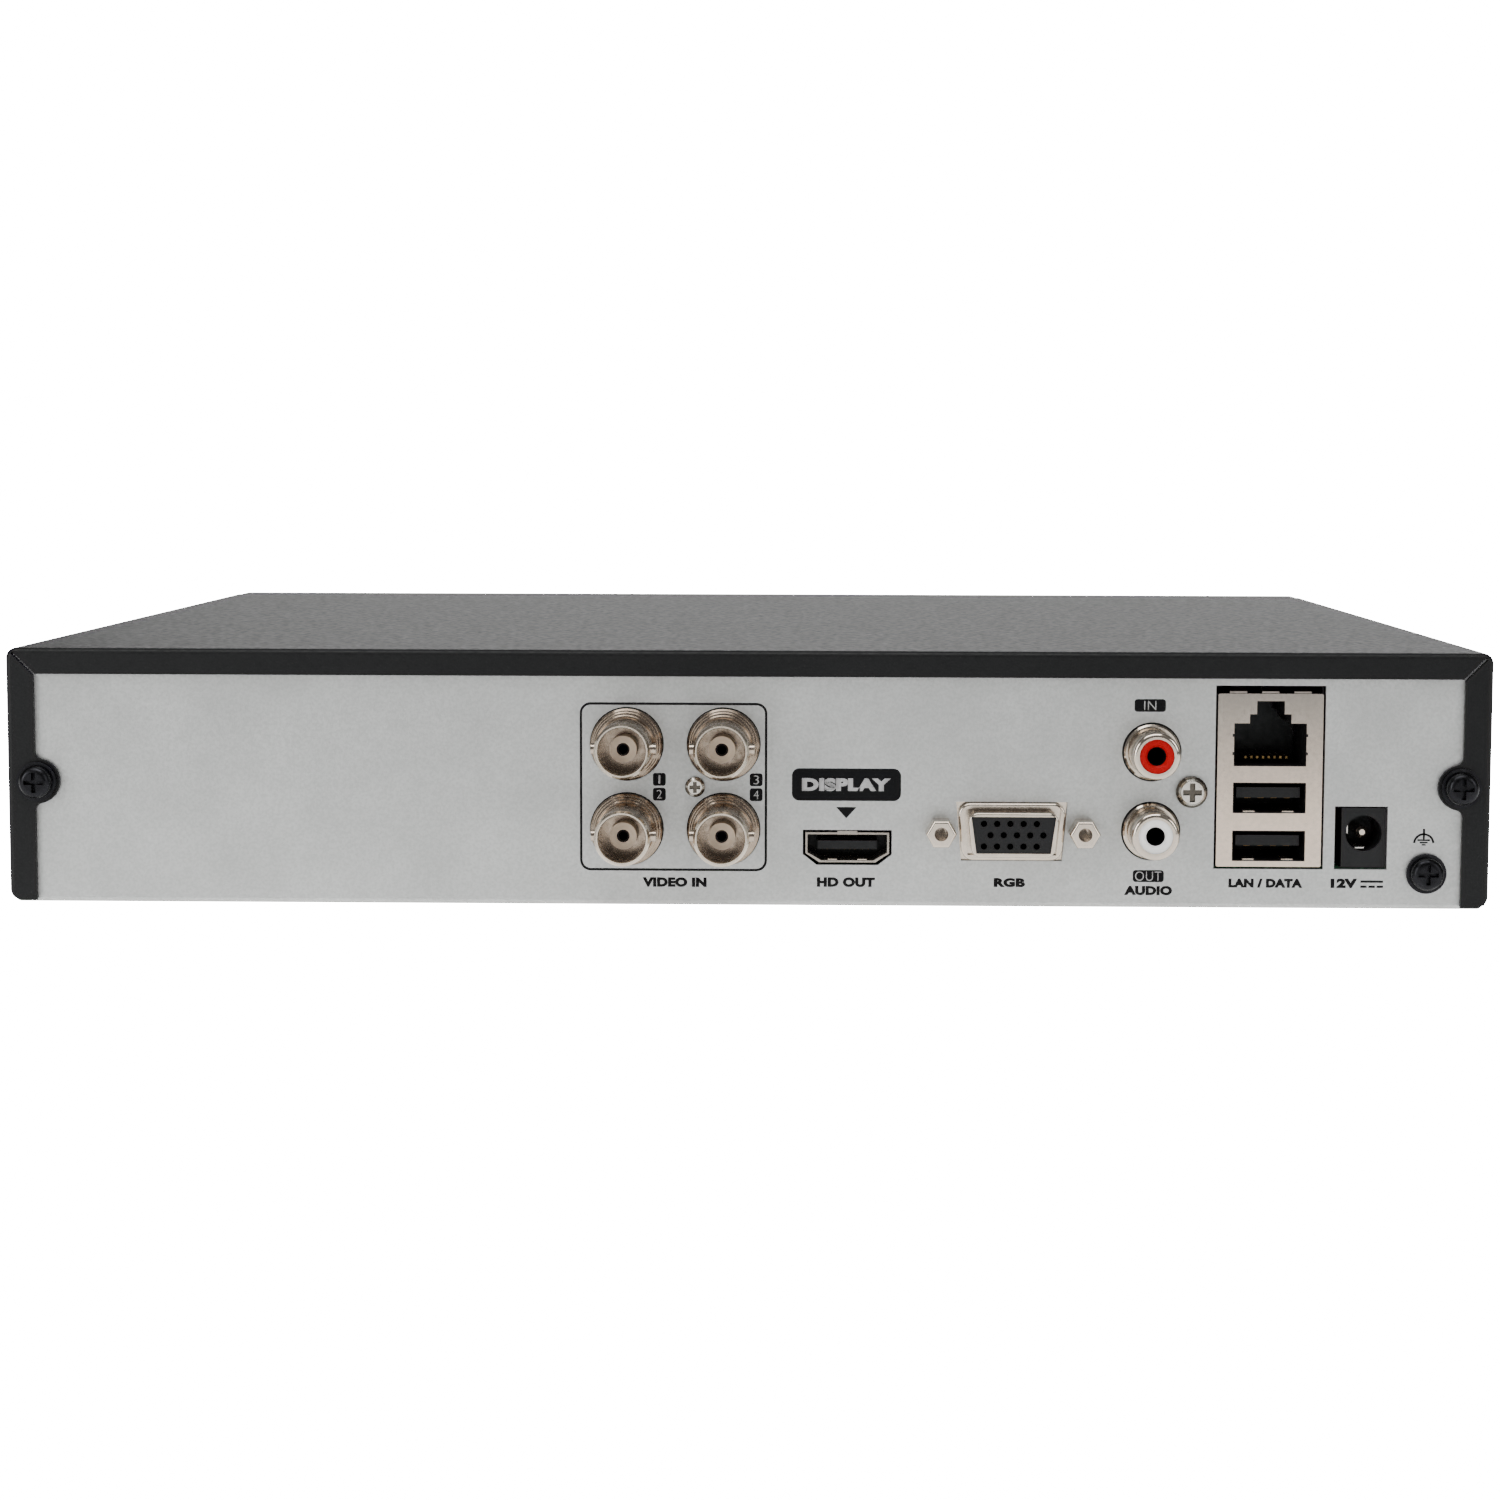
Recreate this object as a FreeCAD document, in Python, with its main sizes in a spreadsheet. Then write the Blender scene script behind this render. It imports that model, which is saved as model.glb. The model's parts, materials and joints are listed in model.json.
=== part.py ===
"""Four-channel video recorder: a sheet-metal case with a slide-off cover, a front bezel, a mainboard that
carries the rear jacks, and a 3.5 inch disk drive.

Frame: +Z up, +Y towards the rear jack panel, -Y towards the front bezel, origin on the standing surface
under the middle of the whole object, jacks included. Lengths are in millimetres.
"""

import FreeCAD, Part
import math
import os
import re

import Sketcher

Vector = FreeCAD.Vector
Rotation = FreeCAD.Rotation

# ---------------------------------------------------------------------------------------------------------
# Driving sizes. Every one is a cell of the spreadsheet; "from_wall" is measured from the case's -X side.
# ---------------------------------------------------------------------------------------------------------
SIZES = {
    # case
    "width": 260.0,
    "depth": 222.0,
    "case_height": 45.0,
    "cover_sheet": 0.8,
    "chassis_sheet": 1.0,
    "slide_gap": 0.2,
    "side_bend": 1.8,
    "rear_bend": 1.0,
    "chassis_bend": 0.9,
    "flange_height": 9.0,
    "return_flange": 6.0,
    # rear lip of the cover
    "lip_side": 4.9,
    "lip_top": 4.55,
    "lip_floor_gap": 0.4,
    "lip_corner": 2.4,
    "lip_seam": 0.16,
    "ear_radius": 3.95,
    "ear_inset": 5.3,
    "ear_height": 21.5,
    "ear_fillet": 1.4,
    # ventilation slots
    "vent_slot": 2.2,
    "vent_pitch": 5.2,
    "vent_count": 11,
    "vent_tall": 15.0,
    "vent_rise": 17.0,
    "vent_inset": 34.0,
    "floor_vent_long": 26.0,
    "floor_vent_start": 30.0,
    "floor_vent_gap": 34.0,
    "return_inset": 8.0,
    "side_opening_gap": 2.0,
    # feet
    "foot_height": 2.0,
    "foot_radius": 7.5,
    "foot_inset": 24.0,
    # front bezel
    "bezel_depth": 12.0,
    "bezel_wall": 2.0,
    "bezel_round": 2.4,
    "window_low": 19.0,
    "window_margin": 3.2,
    "window_sheet": 1.2,
    "window_fit": 0.1,
    "lamp_from_wall": 24.0,
    "lamp_pitch": 11.0,
    "lamp_height": 31.5,
    "lamp_radius": 1.1,
    "lamp_count": 3,
    "lamp_board_long": 34.0,
    "lamp_board_tall": 11.0,
    "grille_count": 37,
    "grille_pitch": 5.6,
    "grille_slot": 2.4,
    "grille_tall": 7.0,
    "grille_rise": 6.0,
    "hook_wide": 8.0,
    "hook_long": 1.9,
    "hook_sheet": 1.4,
    "hook_inset": 34.0,
    "hook_low": 8.0,
    "hook_drop": 4.5,
    "hook_slot_gap": 0.6,
    "lamp_slot_wide": 14.0,
    "lamp_slot_tall": 7.0,
    "lamp_board_sheet": 1.2,
    "lamp_board_back": 3.2,
    "lamp_board_post": 1.6,
    "lamp_wide": 2.0,
    "lamp_thick": 1.0,
    "pipe_gap": 4.6,
    # mainboard
    "board_lift": 4.6,
    "board_sheet": 1.6,
    "board_width": 148.0,
    "board_depth": 64.0,
    "board_side_gap": 14.5,
    "board_rear_gap": 0.8,
    "board_hole_inset": 5.0,
    "board_rear_row": 29.0,
    "board_middle_hole": 88.0,
    "standoff_radius": 2.9,
    "thread_radius": 1.45,
    "thread_gap": 0.05,
    # small screws for the mainboard, the jack brackets and the drive
    "pan_head_radius": 2.75,
    "pan_head_height": 1.7,
    "pan_shank": 4.5,
    "jack_screw_shank": 6.0,
    "mini_head_radius": 1.75,
    "mini_head_height": 1.1,
    "mini_thread_radius": 0.95,
    "mini_shank": 5.0,
    "recess_depth": 0.9,
    "recess_blade": 0.95,
    # black washer-head screws of the cover and the ground terminal
    "washer_radius": 3.5,
    "washer_height": 0.7,
    "case_head_radius": 2.85,
    "case_head_height": 2.0,
    "case_shank": 7.0,
    "nut_radius": 3.0,
    "nut_length": 3.0,
    "ground_from_wall": 10.9,
    "ground_height": 6.4,
    # bayonet video jacks
    "jack_reach": 13.5,
    "bnc_from_wall": 142.35,
    "bnc_pitch": 17.0,
    "bnc_low_row": 6.3,
    "bnc_row_pitch": 15.0,
    "bnc_base_radius": 6.3,
    "bnc_hole_gap": 0.2,
    "bnc_rib_radius": 5.85,
    "bnc_collar_radius": 5.45,
    "bnc_barrel_radius": 4.8,
    "bnc_bore_radius": 4.05,
    "bnc_bore_depth": 9.4,
    "bnc_lug_radius": 1.0,
    "bnc_lug_reach": 5.6,
    "bnc_lug_back": 5.2,
    "bnc_dielectric_radius": 2.35,
    "bnc_dielectric_face": 10.2,
    "bnc_contact_radius": 1.1,
    "bnc_contact_bore": 0.82,
    "bnc_contact_deep": 5.0,
    "bnc_screw_shift": 3.5,
    "bnc_block_margin": 8.2,
    "bnc_block_deep": 17.5,
    "bnc_block_tall": 30.0,
    "bnc_root": 6.0,
    # digital video port
    "hd_from_wall": 112.1,
    "hd_cut_wide": 15.6,
    "hd_cut_base": 0.1,
    "hd_cut_tall": 6.2,
    "hd_shell_wide": 14.7,
    "hd_shell_tall": 5.3,
    "hd_shell_base": 0.5,
    "hd_sheet": 0.35,
    "hd_long": 11.0,
    "hd_recess": 0.5,
    "hd_tongue_wide": 10.4,
    "hd_tongue_thick": 1.5,
    "hd_tab_wide": 3.5,
    "hd_tab_deep": 2.2,
    # analogue video port
    "vga_from_wall": 83.3,
    "vga_rise": 6.2,
    "vga_ring_wide": 19.2,
    "vga_ring_tall": 10.1,
    "vga_ring_reach": 0.9,
    "vga_ring_wall": 0.95,
    "vga_shell_wide": 16.1,
    "vga_shell_tall": 7.8,
    "vga_shell_wall": 0.7,
    "vga_shell_reach": 5.8,
    "vga_slant": 0.9,
    "vga_pin_pitch": 2.29,
    "vga_row_pitch": 1.98,
    "vga_pin_radius": 0.56,
    "vga_pin_deep": 6.0,
    "vga_flange_tall": 12.0,
    "vga_flange_sheet": 0.75,
    "vga_flange_wide": 31.0,
    "vga_screw_pitch": 24.99,
    "vga_post_radius": 2.7,
    "vga_post_reach": 5.0,
    "vga_post_bore": 1.2,
    "vga_block_deep": 12.0,
    # phono jacks
    "phono_from_wall": 59.0,
    "phono_low_row": 6.4,
    "phono_row_pitch": 13.9,
    "phono_hole_radius": 5.2,
    "phono_flange_radius": 4.9,
    "phono_barrel_radius": 4.15,
    "phono_insert_radius": 3.0,
    "phono_bore_radius": 1.65,
    "phono_bore_depth": 9.0,
    "phono_reach": 8.6,
    "phono_block_wide": 10.6,
    "phono_block_deep": 13.0,
    "phono_ear": 7.0,
    "phono_ear_thick": 4.5,
    "phono_ear_half": 3.4,
    "phono_root": 5.0,
    # network and data stack
    "lan_from_wall": 38.4,
    "lan_cut_wide": 19.1,
    "lan_cut_tall": 32.2,
    "lan_cut_base": -0.2,
    "lan_wide": 18.3,
    "lan_tall": 30.4,
    "lan_base": 0.2,
    "lan_long": 21.0,
    "lan_sheet": 0.35,
    "lan_socket_wide": 12.6,
    "lan_socket_low": 17.9,
    "lan_socket_tall": 7.5,
    "lan_socket_deep": 15.0,
    "lan_key_wide": 7.2,
    "lan_key_tall": 1.6,
    "lan_latch_wide": 4.8,
    "lan_latch_tall": 2.3,
    "data_wide": 12.7,
    "data_tall": 5.35,
    "data_low": 1.2,
    "data_pitch": 8.45,
    "data_deep": 14.0,
    "data_tongue_wide": 11.1,
    "data_tongue_thick": 1.84,
    "data_tongue_drop": 0.95,
    "data_tongue_recess": 1.2,
    # power inlet
    "power_from_wall": 22.3,
    "power_cut_wide": 9.2,
    "power_cut_tall": 11.1,
    "power_wide": 7.8,
    "power_shift": -0.6,
    "power_deep": 14.0,
    "power_recess": 0.8,
    "power_bore_radius": 3.15,
    "power_bore_rise": 6.1,
    "power_bore_deep": 10.0,
    "power_pin_radius": 1.0,
    "power_pin_recess": 1.6,
    # electronics on the mainboard
    "processor_wide": 19.0,
    "processor_thick": 1.6,
    "processor_from_side": 66.0,
    "processor_from_front": 23.0,
    "sink_wide": 28.0,
    "sink_foot": 2.5,
    "sink_tall": 11.0,
    "sink_fin": 1.0,
    "sink_fins": 7,
    "data_header_from_side": 58.0,
    "power_header_from_side": 38.0,
    "lamp_header_from_side": 14.0,
    "header_deep": 7.0,
    "header_tall": 6.5,
    "data_header_long": 16.0,
    "power_header_long": 12.6,
    "lamp_header_long": 8.0,
    "lamp_header_tall": 5.0,
    "cell_from_side": 17.0,
    "cell_from_front": 22.0,
    "cell_radius": 10.0,
    "cell_thick": 3.2,
    "cell_wall": 1.2,
    "buzzer_radius": 6.0,
    "buzzer_tall": 8.0,
    "buzzer_hole": 1.0,
    "buzzer_from_side": 100.0,
    "buzzer_from_front": 34.0,
    # disk drive
    "drive_long": 147.0,
    "drive_wide": 101.6,
    "drive_tall": 26.1,
    "drive_lift": 3.0,
    "drive_boss_radius": 4.6,
    "drive_side_gap": 4.0,
    "drive_front_gap": 2.5,
    "drive_wall": 3.0,
    "drive_lid": 1.0,
    "drive_deck": 9.0,
    "drive_spindle_inset": 50.8,
    "drive_hole_side": 3.18,
    "drive_hole_first": 41.28,
    "drive_hole_pitch": 44.45,
    "platter_radius": 47.5,
    "platter_thick": 1.27,
    "platter_rise": 7.0,
    "hub_radius": 12.5,
    "pivot_x": 36.0,
    "pivot_y": 34.0,
    "pivot_radius": 3.0,
    "pivot_gap": 0.05,
    "arm_long": 46.0,
    "arm_thick": 0.9,
    "arm_gap": 1.2,
    "drive_port_rise": 4.2,
    "drive_port_y": 26.0,
    "drive_data_y": 46.0,
    "magnet_long": 13.0,
    "magnet_wide": 34.5,
    "magnet_thick": 3.0,
    "magnet_post": 4.0,
    # cables inside the case
    "data_lead_radius": 2.2,
    "power_wire_radius": 0.8,
    "wire_pitch": 2.5,
    "lamp_wire_radius": 0.55,
    "plug_long": 11.0,
    "plug_tall": 5.6,
    "plug_lift": 0.4,
}

document = FreeCAD.newDocument("video_recorder")
sheet = document.addObject("Spreadsheet::Sheet", "Sizes")
for row, (name, value) in enumerate(SIZES.items(), 1):
    sheet.set(f"A{row}", name)
    sheet.set(f"B{row}", str(value))
    sheet.setAlias(f"B{row}", name)
document.recompute()

SUB_PARTS = []

# Places shared by many sub-parts, as expressions of the sheet's cells.
REAR = "(depth - jack_reach) / 2"
FRONT = "(0 - (depth + jack_reach) / 2)"
TOP = "(foot_height + case_height)"
PANEL = f"({REAR} - cover_sheet - slide_gap)"
PANEL_INSIDE = f"({PANEL} - chassis_sheet)"
FRONT_WALL = f"({FRONT} + bezel_depth)"
FRONT_INSIDE = f"({FRONT_WALL} + chassis_sheet)"
CHASSIS_SIDE = "(width / 2 - cover_sheet - slide_gap)"
CHASSIS_TOP = f"({TOP} - cover_sheet - slide_gap)"
FLOOR = "(foot_height + chassis_sheet)"
BOARD_UNDERSIDE = f"({FLOOR} + board_lift)"
BOARD_TOP = f"({BOARD_UNDERSIDE} + board_sheet)"
BOARD_REAR = f"({PANEL_INSIDE} - board_rear_gap)"
BOARD_FRONT = f"({BOARD_REAR} - board_depth)"
BOARD_RIGHT = "(0 - width / 2 + board_side_gap)"
BOARD_LEFT = f"({BOARD_RIGHT} + board_width)"
DRIVE_LEFT = "(width / 2 - drive_side_gap - drive_long)"
DRIVE_FRONT = f"({FRONT_INSIDE} + drive_front_gap)"
DRIVE_BASE = f"({FLOOR} + drive_lift)"


# ---------------------------------------------------------------------------------------------------------
# Helpers
# ---------------------------------------------------------------------------------------------------------
# Sketches are drawn small about this point, before their constraints move them into place.
DRAWN_AT = Vector(5, 5, 0)


def cell(name):
    """One size as a number."""
    return float(sheet.get(name))


def linked(text):
    """The expression text with every size's name pointed at its cell."""


    def point_at(match):
        word = match.group(0)
        return f"Sizes.{word}" if word in SIZES else word

    return re.sub(r"[a-z_]+", point_at, str(text))


def bind(thing, prop, text):
    thing.setExpression(prop, linked(text))


def from_wall(size):
    """X of something placed by its distance from the -X side of the case."""
    return f"(0 - width / 2 + {size})"


def sub_part(thing, label):
    """Registers thing as the sub-part that is written to label.step."""
    thing.Label = label
    SUB_PARTS.append(thing)
    return thing


def new_body(label, x="0", y="0", z="0"):
    body = sub_part(document.addObject("PartDesign::Body", label), label)
    place(body, x, y, z)
    return body


def place(thing, x="0", y="0", z="0"):
    for axis, text in zip("xyz", (x, y, z)):
        bind(thing, f"Placement.Base.{axis}", text)


def sketch_at(body, plane, level):
    """A sketch parallel to one of the body's own planes, at that level along the plane's world axis."""
    origin_plane = next(o for o in body.Origin.OriginFeatures if o.Role == f"{plane}_Plane")
    sketch = body.newObject("Sketcher::SketchObject", f"{body.Name}_sketch")
    sketch.AttachmentSupport = [(origin_plane, "")]
    sketch.MapMode = "FlatFace"
    bind(sketch, "AttachmentOffset.Base.z", f"0 - ({level})" if plane == "XZ" else level)
    return sketch


def pin_point(sketch, geometry, end, x, y, start):
    """Fixes a point, drawn at start, to the two expressions."""
    for kind, text, value in (("DistanceX", x, start.x), ("DistanceY", y, start.y)):
        index = sketch.addConstraint(Sketcher.Constraint(kind, -1, 1, geometry, end, value))
        bind(sketch, f"Constraints[{index}]", text)


def outline(*points):
    """Draws a closed polygon whose corners are pairs of expressions."""

    def draw(sketch):
        first = sketch.GeometryCount
        total = len(points)
        turns = [2 * math.pi * i / total for i in range(total)]
        spots = [DRAWN_AT + Vector(math.cos(turn), math.sin(turn), 0) for turn in turns]
        for i in range(total):
            sketch.addGeometry(Part.LineSegment(spots[i], spots[(i + 1) % total]), False)
        for i in range(total):
            onward = first + (i + 1) % total
            sketch.addConstraint(Sketcher.Constraint("Coincident", first + i, 2, onward, 1))
            pin_point(sketch, first + i, 1, *points[i], spots[i])

    return draw


def rectangle(x0, y0, x1, y1):
    return outline((x0, y0), (x1, y0), (x1, y1), (x0, y1))


def corner_bite(side, x, z, radius):
    """What lies outside a rounded lower corner, whose arc is centred on x and z; side is 1 or -1."""

    def draw(sketch):
        past_x, past_z = f"{x} + {side} * ({radius} + 1)", f"{z} - {radius} - 1"
        low, right = (x, f"{z} - {radius}"), (f"{x} + {side} * {radius}", z)
        points = [low, (x, past_z), (past_x, past_z), (past_x, z), right]
        steps = [(0, -1), (0, -2), (2 * side, -2), (2 * side, 0), (side, 0)]
        spots = [DRAWN_AT + Vector(right, up, 0) for right, up in steps]
        for i in range(4):
            sketch.addGeometry(Part.LineSegment(spots[i], spots[i + 1]), False)
            pin_point(sketch, i, 1, *points[i], spots[i])
        for i in range(3):
            sketch.addConstraint(Sketcher.Constraint("Coincident", i, 2, i + 1, 1))
        pin_point(sketch, 3, 2, *points[4], spots[4])
        start = 1.5 * math.pi if side > 0 else math.pi
        arc = Part.ArcOfCircle(Part.Circle(DRAWN_AT, Vector(0, 0, 1), 1.0), start, start + math.pi / 2)
        index = sketch.addGeometry(arc, False)
        low_end, high_end = (1, 2) if side > 0 else (2, 1)
        sketch.addConstraint(Sketcher.Constraint("Coincident", index, low_end, 0, 1))
        sketch.addConstraint(Sketcher.Constraint("Coincident", index, high_end, 3, 2))
        size = sketch.addConstraint(Sketcher.Constraint("Radius", index, 1.0))
        bind(sketch, f"Constraints[{size}]", radius)

    return draw


def centred(x, y, wide, tall):
    """A rectangle by its centre and size."""
    half_wide, half_tall = f"({wide}) / 2", f"({tall}) / 2"
    return rectangle(f"{x} - {half_wide}", f"{y} - {half_tall}", f"{x} + {half_wide}", f"{y} + {half_tall}")


def circle(x, y, radius):
    def draw(sketch):
        index = sketch.addGeometry(Part.Circle(DRAWN_AT, Vector(0, 0, 1), 1.0), False)
        pin_point(sketch, index, 3, x, y, DRAWN_AT)
        size = sketch.addConstraint(Sketcher.Constraint("Radius", index, 1.0))
        bind(sketch, f"Constraints[{size}]", radius)

    return draw


def pad(body, plane, low, high, *shapes):
    """Adds the drawn shapes as material between two levels along the plane's world axis."""
    sketch = sketch_at(body, plane, high if plane == "XZ" else low)
    for draw in shapes:
        draw(sketch)
    feature = body.newObject("PartDesign::Pad", f"{body.Name}_pad")
    feature.Profile = sketch
    bind(feature, "Length", f"({high}) - ({low})")
    return feature


def pocket(body, plane, low, high, *shapes):
    """Removes the drawn shapes between two levels along the plane's world axis."""
    sketch = sketch_at(body, plane, low if plane == "XZ" else high)
    for draw in shapes:
        draw(sketch)
    feature = body.newObject("PartDesign::Pocket", f"{body.Name}_pocket")
    feature.Profile = sketch
    feature.Type = "Length"
    bind(feature, "Length", f"({high}) - ({low})")
    return feature


def turned(body, plane, *points):
    """Revolves (radius, height) pairs: about Y when drawn on the XY plane, about Z on the XZ plane."""
    sketch = sketch_at(body, plane, "0")
    outline(*points)(sketch)
    feature = body.newObject("PartDesign::Revolution", f"{body.Name}_turned")
    feature.Profile = sketch
    feature.ReferenceAxis = (sketch, ["V_Axis"])
    feature.Angle = 360.0
    return feature


def row_of(body, feature, axis, count, pitch):
    """Repeats a feature along one of the body's own axes."""
    pattern = body.newObject("PartDesign::LinearPattern", f"{body.Name}_row")
    pattern.Originals = [feature]
    line = next(o for o in body.Origin.OriginFeatures if o.Role == f"{axis}_Axis")
    pattern.Direction = (line, [""])
    bind(pattern, "Length", f"({pitch}) * ({count} - 1)")
    bind(pattern, "Occurrences", count)
    body.Tip = pattern
    return pattern


def along(edge, direction):
    """Whether an edge is straight and runs along a direction."""
    if edge.Curve.TypeId != "Part::GeomLine":
        return False
    return abs(abs(edge.Curve.Direction.dot(direction)) - 1) < 1e-6


def round_edges(body, radius, wanted):
    """Fillets the edges of the body's tip that wanted(edge) picks."""
    document.recompute()
    tip = body.Tip
    names = [f"Edge{i}" for i, edge in enumerate(tip.Shape.Edges, 1) if wanted(edge)]
    fillet = body.newObject("PartDesign::Fillet", f"{body.Name}_fillet")
    fillet.Base = (tip, names)
    bind(fillet, "Radius", radius)
    body.Tip = fillet
    return fillet


def box(name, x, y, z, long, wide, tall):
    """A block by its lowest corner and its three sizes."""
    block = document.addObject("Part::Box", name)
    for prop, text in (("Length", long), ("Width", wide), ("Height", tall)):
        bind(block, prop, text)
    place(block, x, y, z)
    return block


def cylinder(name, x, y, z, radius, tall):
    rod = document.addObject("Part::Cylinder", name)
    bind(rod, "Radius", radius)
    bind(rod, "Height", tall)
    place(rod, x, y, z)
    return rod


def group(label, members):
    """One sub-part made of several separate solids."""
    compound = document.addObject("Part::Compound", label)
    compound.Links = members
    return sub_part(compound, label)


def copies(label, master, places):
    """One sub-part that holds a copy of the master at each place."""
    links = []
    for x, y, z in places:
        link = document.addObject("App::Link", f"{label}_copy")
        link.LinkedObject = master
        link.LinkTransform = False
        place(link, x, y, z)
        links.append(link)
    return group(label, links)


def master_body(name):
    """A body that is only a pattern for copies, and isn't written by itself."""
    body = document.addObject("PartDesign::Body", name)
    body.Label = name
    return body


def cross_recess(body, plane, low, high, reach, blade):
    """A cross-head driver recess centred on the body's axis."""
    pocket(body, plane, low, high, centred("0", "0", reach, blade))
    pocket(body, plane, low, high, centred("0", "0", blade, reach))


# ---------------------------------------------------------------------------------------------------------
# Case
# ---------------------------------------------------------------------------------------------------------
def build_cover():
    """Top, two sides and a rear lip, open at the bottom and at the front."""
    body = new_body("top_cover")
    side = "(width / 2)"
    low = "(foot_height + lip_floor_gap)"
    inner = f"({side} - cover_sheet)"
    pad(body, "XZ", f"{FRONT_WALL} + slide_gap", REAR, rectangle(f"0 - {side}", low, side, TOP))
    tall = cell("case_height")
    round_edges(body, "side_bend", lambda e: along(e, Vector(0, 1, 0)) and e.CenterOfMass.z > tall)
    rear = (cell("depth") - cell("jack_reach")) / 2
    bottom = cell("foot_height") + cell("lip_floor_gap")
    round_edges(body, "rear_bend", lambda e: abs(e.CenterOfMass.y - rear) < 0.01
                and e.CenterOfMass.z > bottom + 0.01)
    pocket(body, "XZ", f"{FRONT_WALL} - 1", f"{REAR} - cover_sheet",
           rectangle(f"0 - {inner}", f"{low} - 1", inner, f"{TOP} - cover_sheet"))
    window_side = f"({side} - lip_side)"
    pocket(body, "XZ", f"{REAR} - 2 * cover_sheet", f"{REAR} + 1",
           rectangle(f"0 - {window_side}", f"{low} - 1", window_side, f"{TOP} - lip_top"))
    ear_z = "(foot_height + ear_height)"
    for sign in ("0 - ", ""):
        x = f"{sign}({side} - ear_inset)"
        pad(body, "XZ", f"{REAR} - cover_sheet", REAR, circle(x, ear_z, "ear_radius"))
    round_edges(body, "ear_fillet", ear_corner)
    for sign in ("0 - ", ""):
        x = f"{sign}({side} - ear_inset)"
        hole = circle(x, ear_z, "thread_radius + 0.2")
        pocket(body, "XZ", f"{REAR} - 2 * cover_sheet", f"{REAR} + 1", hole)
        mitre_seam(body, sign)
    for hand in (1, -1):
        round_lip_corner(body, hand)
    vent = pocket(body, "YZ", f"0 - {side} - 1", f"{side} + 1", side_vent())
    row_of(body, vent, "Y", "vent_count", "vent_pitch")
    return body


def round_lip_corner(body, side):
    """Rounds the lip's lower outer corner."""
    x = f"({side} * (width / 2 - lip_corner))"
    z = "(foot_height + lip_floor_gap + lip_corner)"
    bite = corner_bite(side, x, z, "lip_corner")
    pocket(body, "XZ", f"{REAR} - cover_sheet - lip_corner", f"{REAR} + 1", bite)


def ear_corner(edge):
    """The short edges where an ear's circle leaves the lip's straight inner edge."""
    near_x = abs(abs(edge.CenterOfMass.x) - (cell("width") / 2 - cell("lip_side"))) < 0.05
    middle = cell("foot_height") + cell("ear_height")
    near_z = abs(abs(edge.CenterOfMass.z - middle) - cell("ear_radius")) < 0.3
    return along(edge, Vector(0, 1, 0)) and near_x and near_z


def mitre_seam(body, sign):
    """The slit at 45 degrees between the lip's top and side strips."""
    inner_x, inner_z = "width / 2 - lip_side", f"{TOP} - lip_top"
    inside, outside = "(0 - 1)", "(lip_top - cover_sheet)"
    one_way, other_way = "lip_seam", "0 - lip_seam"
    steps = ((inside, one_way), (outside, one_way), (outside, other_way), (inside, other_way))
    corners = [(f"{sign}({inner_x} + {step} + {shift})", f"{inner_z} + {step} - ({shift})")
               for step, shift in steps]
    pocket(body, "XZ", f"{REAR} - 2 * cover_sheet", f"{REAR} + 1", outline(*corners))


def side_vent():
    low = "(foot_height + vent_rise)"
    start = f"({FRONT_WALL} + vent_inset)"
    return rectangle(start, low, f"{start} + vent_slot", f"{low} + vent_tall")


def build_chassis():
    """Floor, front wall, rear jack panel and low side flanges, folded from one sheet."""
    body = new_body("chassis")
    side, inner = CHASSIS_SIDE, f"({CHASSIS_SIDE} - chassis_sheet)"
    pad(body, "XZ", FRONT_WALL, PANEL, rectangle(f"0 - {side}", "foot_height", side, CHASSIS_TOP))
    base = cell("foot_height")
    round_edges(body, "chassis_bend", lambda e: abs(e.CenterOfMass.z - base) < 0.01)
    tray = rectangle(f"0 - {inner}", FRONT_INSIDE, inner, PANEL_INSIDE)
    pocket(body, "XY", FLOOR, f"{CHASSIS_TOP} + 1", tray)
    opening = rectangle(f"{FRONT_INSIDE} + side_opening_gap", f"{FLOOR} + flange_height",
                        f"{PANEL_INSIDE} - side_opening_gap", f"{CHASSIS_TOP} + 1")
    pocket(body, "YZ", f"0 - {side} - 1", f"{side} + 1", opening)
    for low, high in ((f"{PANEL_INSIDE} - return_flange", PANEL_INSIDE),
                      (FRONT_INSIDE, f"{FRONT_INSIDE} + return_flange")):
        turned_in = rectangle(f"0 - {inner} + return_inset", f"{CHASSIS_TOP} - chassis_sheet",
                              f"{inner} - return_inset", CHASSIS_TOP)
        pad(body, "XZ", low, high, turned_in)
    cut_jack_panel(body)
    cut_front_wall(body)
    cut_floor(body)
    return body


def cut_jack_panel(body):
    """The openings of the rear panel."""
    hd_x, vga_x = from_wall("hd_from_wall"), from_wall("vga_from_wall")
    shapes = [circle(x, z, "bnc_base_radius + bnc_hole_gap") for x, z in bnc_places()]
    shapes += [circle(from_wall("phono_from_wall"), z, "phono_hole_radius") for z in phono_rows()]
    shapes.append(hd_outline("hd_cut_wide", "hd_cut_tall", "hd_cut_base", hd_x, BOARD_TOP))
    shapes.append(vga_outline("vga_ring_wide + 0.3", "vga_ring_tall + 0.3", vga_x, VGA_AXIS))
    shapes += [circle(f"{vga_x} {sign} vga_screw_pitch / 2", VGA_AXIS, "vga_post_radius - 0.6")
               for sign in ("-", "+")]
    low = f"({BOARD_TOP} + lan_cut_base)"
    for middle, wide, tall in (("lan_from_wall", "lan_cut_wide", "lan_cut_tall"),
                               ("power_from_wall", "power_cut_wide", "power_cut_tall")):
        x = from_wall(middle)
        shapes.append(rectangle(f"{x} - {wide} / 2", low, f"{x} + {wide} / 2", f"{low} + {tall}"))
    shapes.append(circle(*BNC_SCREW, "mini_thread_radius + 0.15"))
    shapes.append(circle(*PHONO_SCREW, "thread_radius + 0.15"))
    shapes += [circle(x, z, "nut_radius - 0.8") for x, z in case_screw_places()]
    pocket(body, "XZ", f"{PANEL_INSIDE} - 0.5", f"{PANEL} + 1", *shapes)


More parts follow.
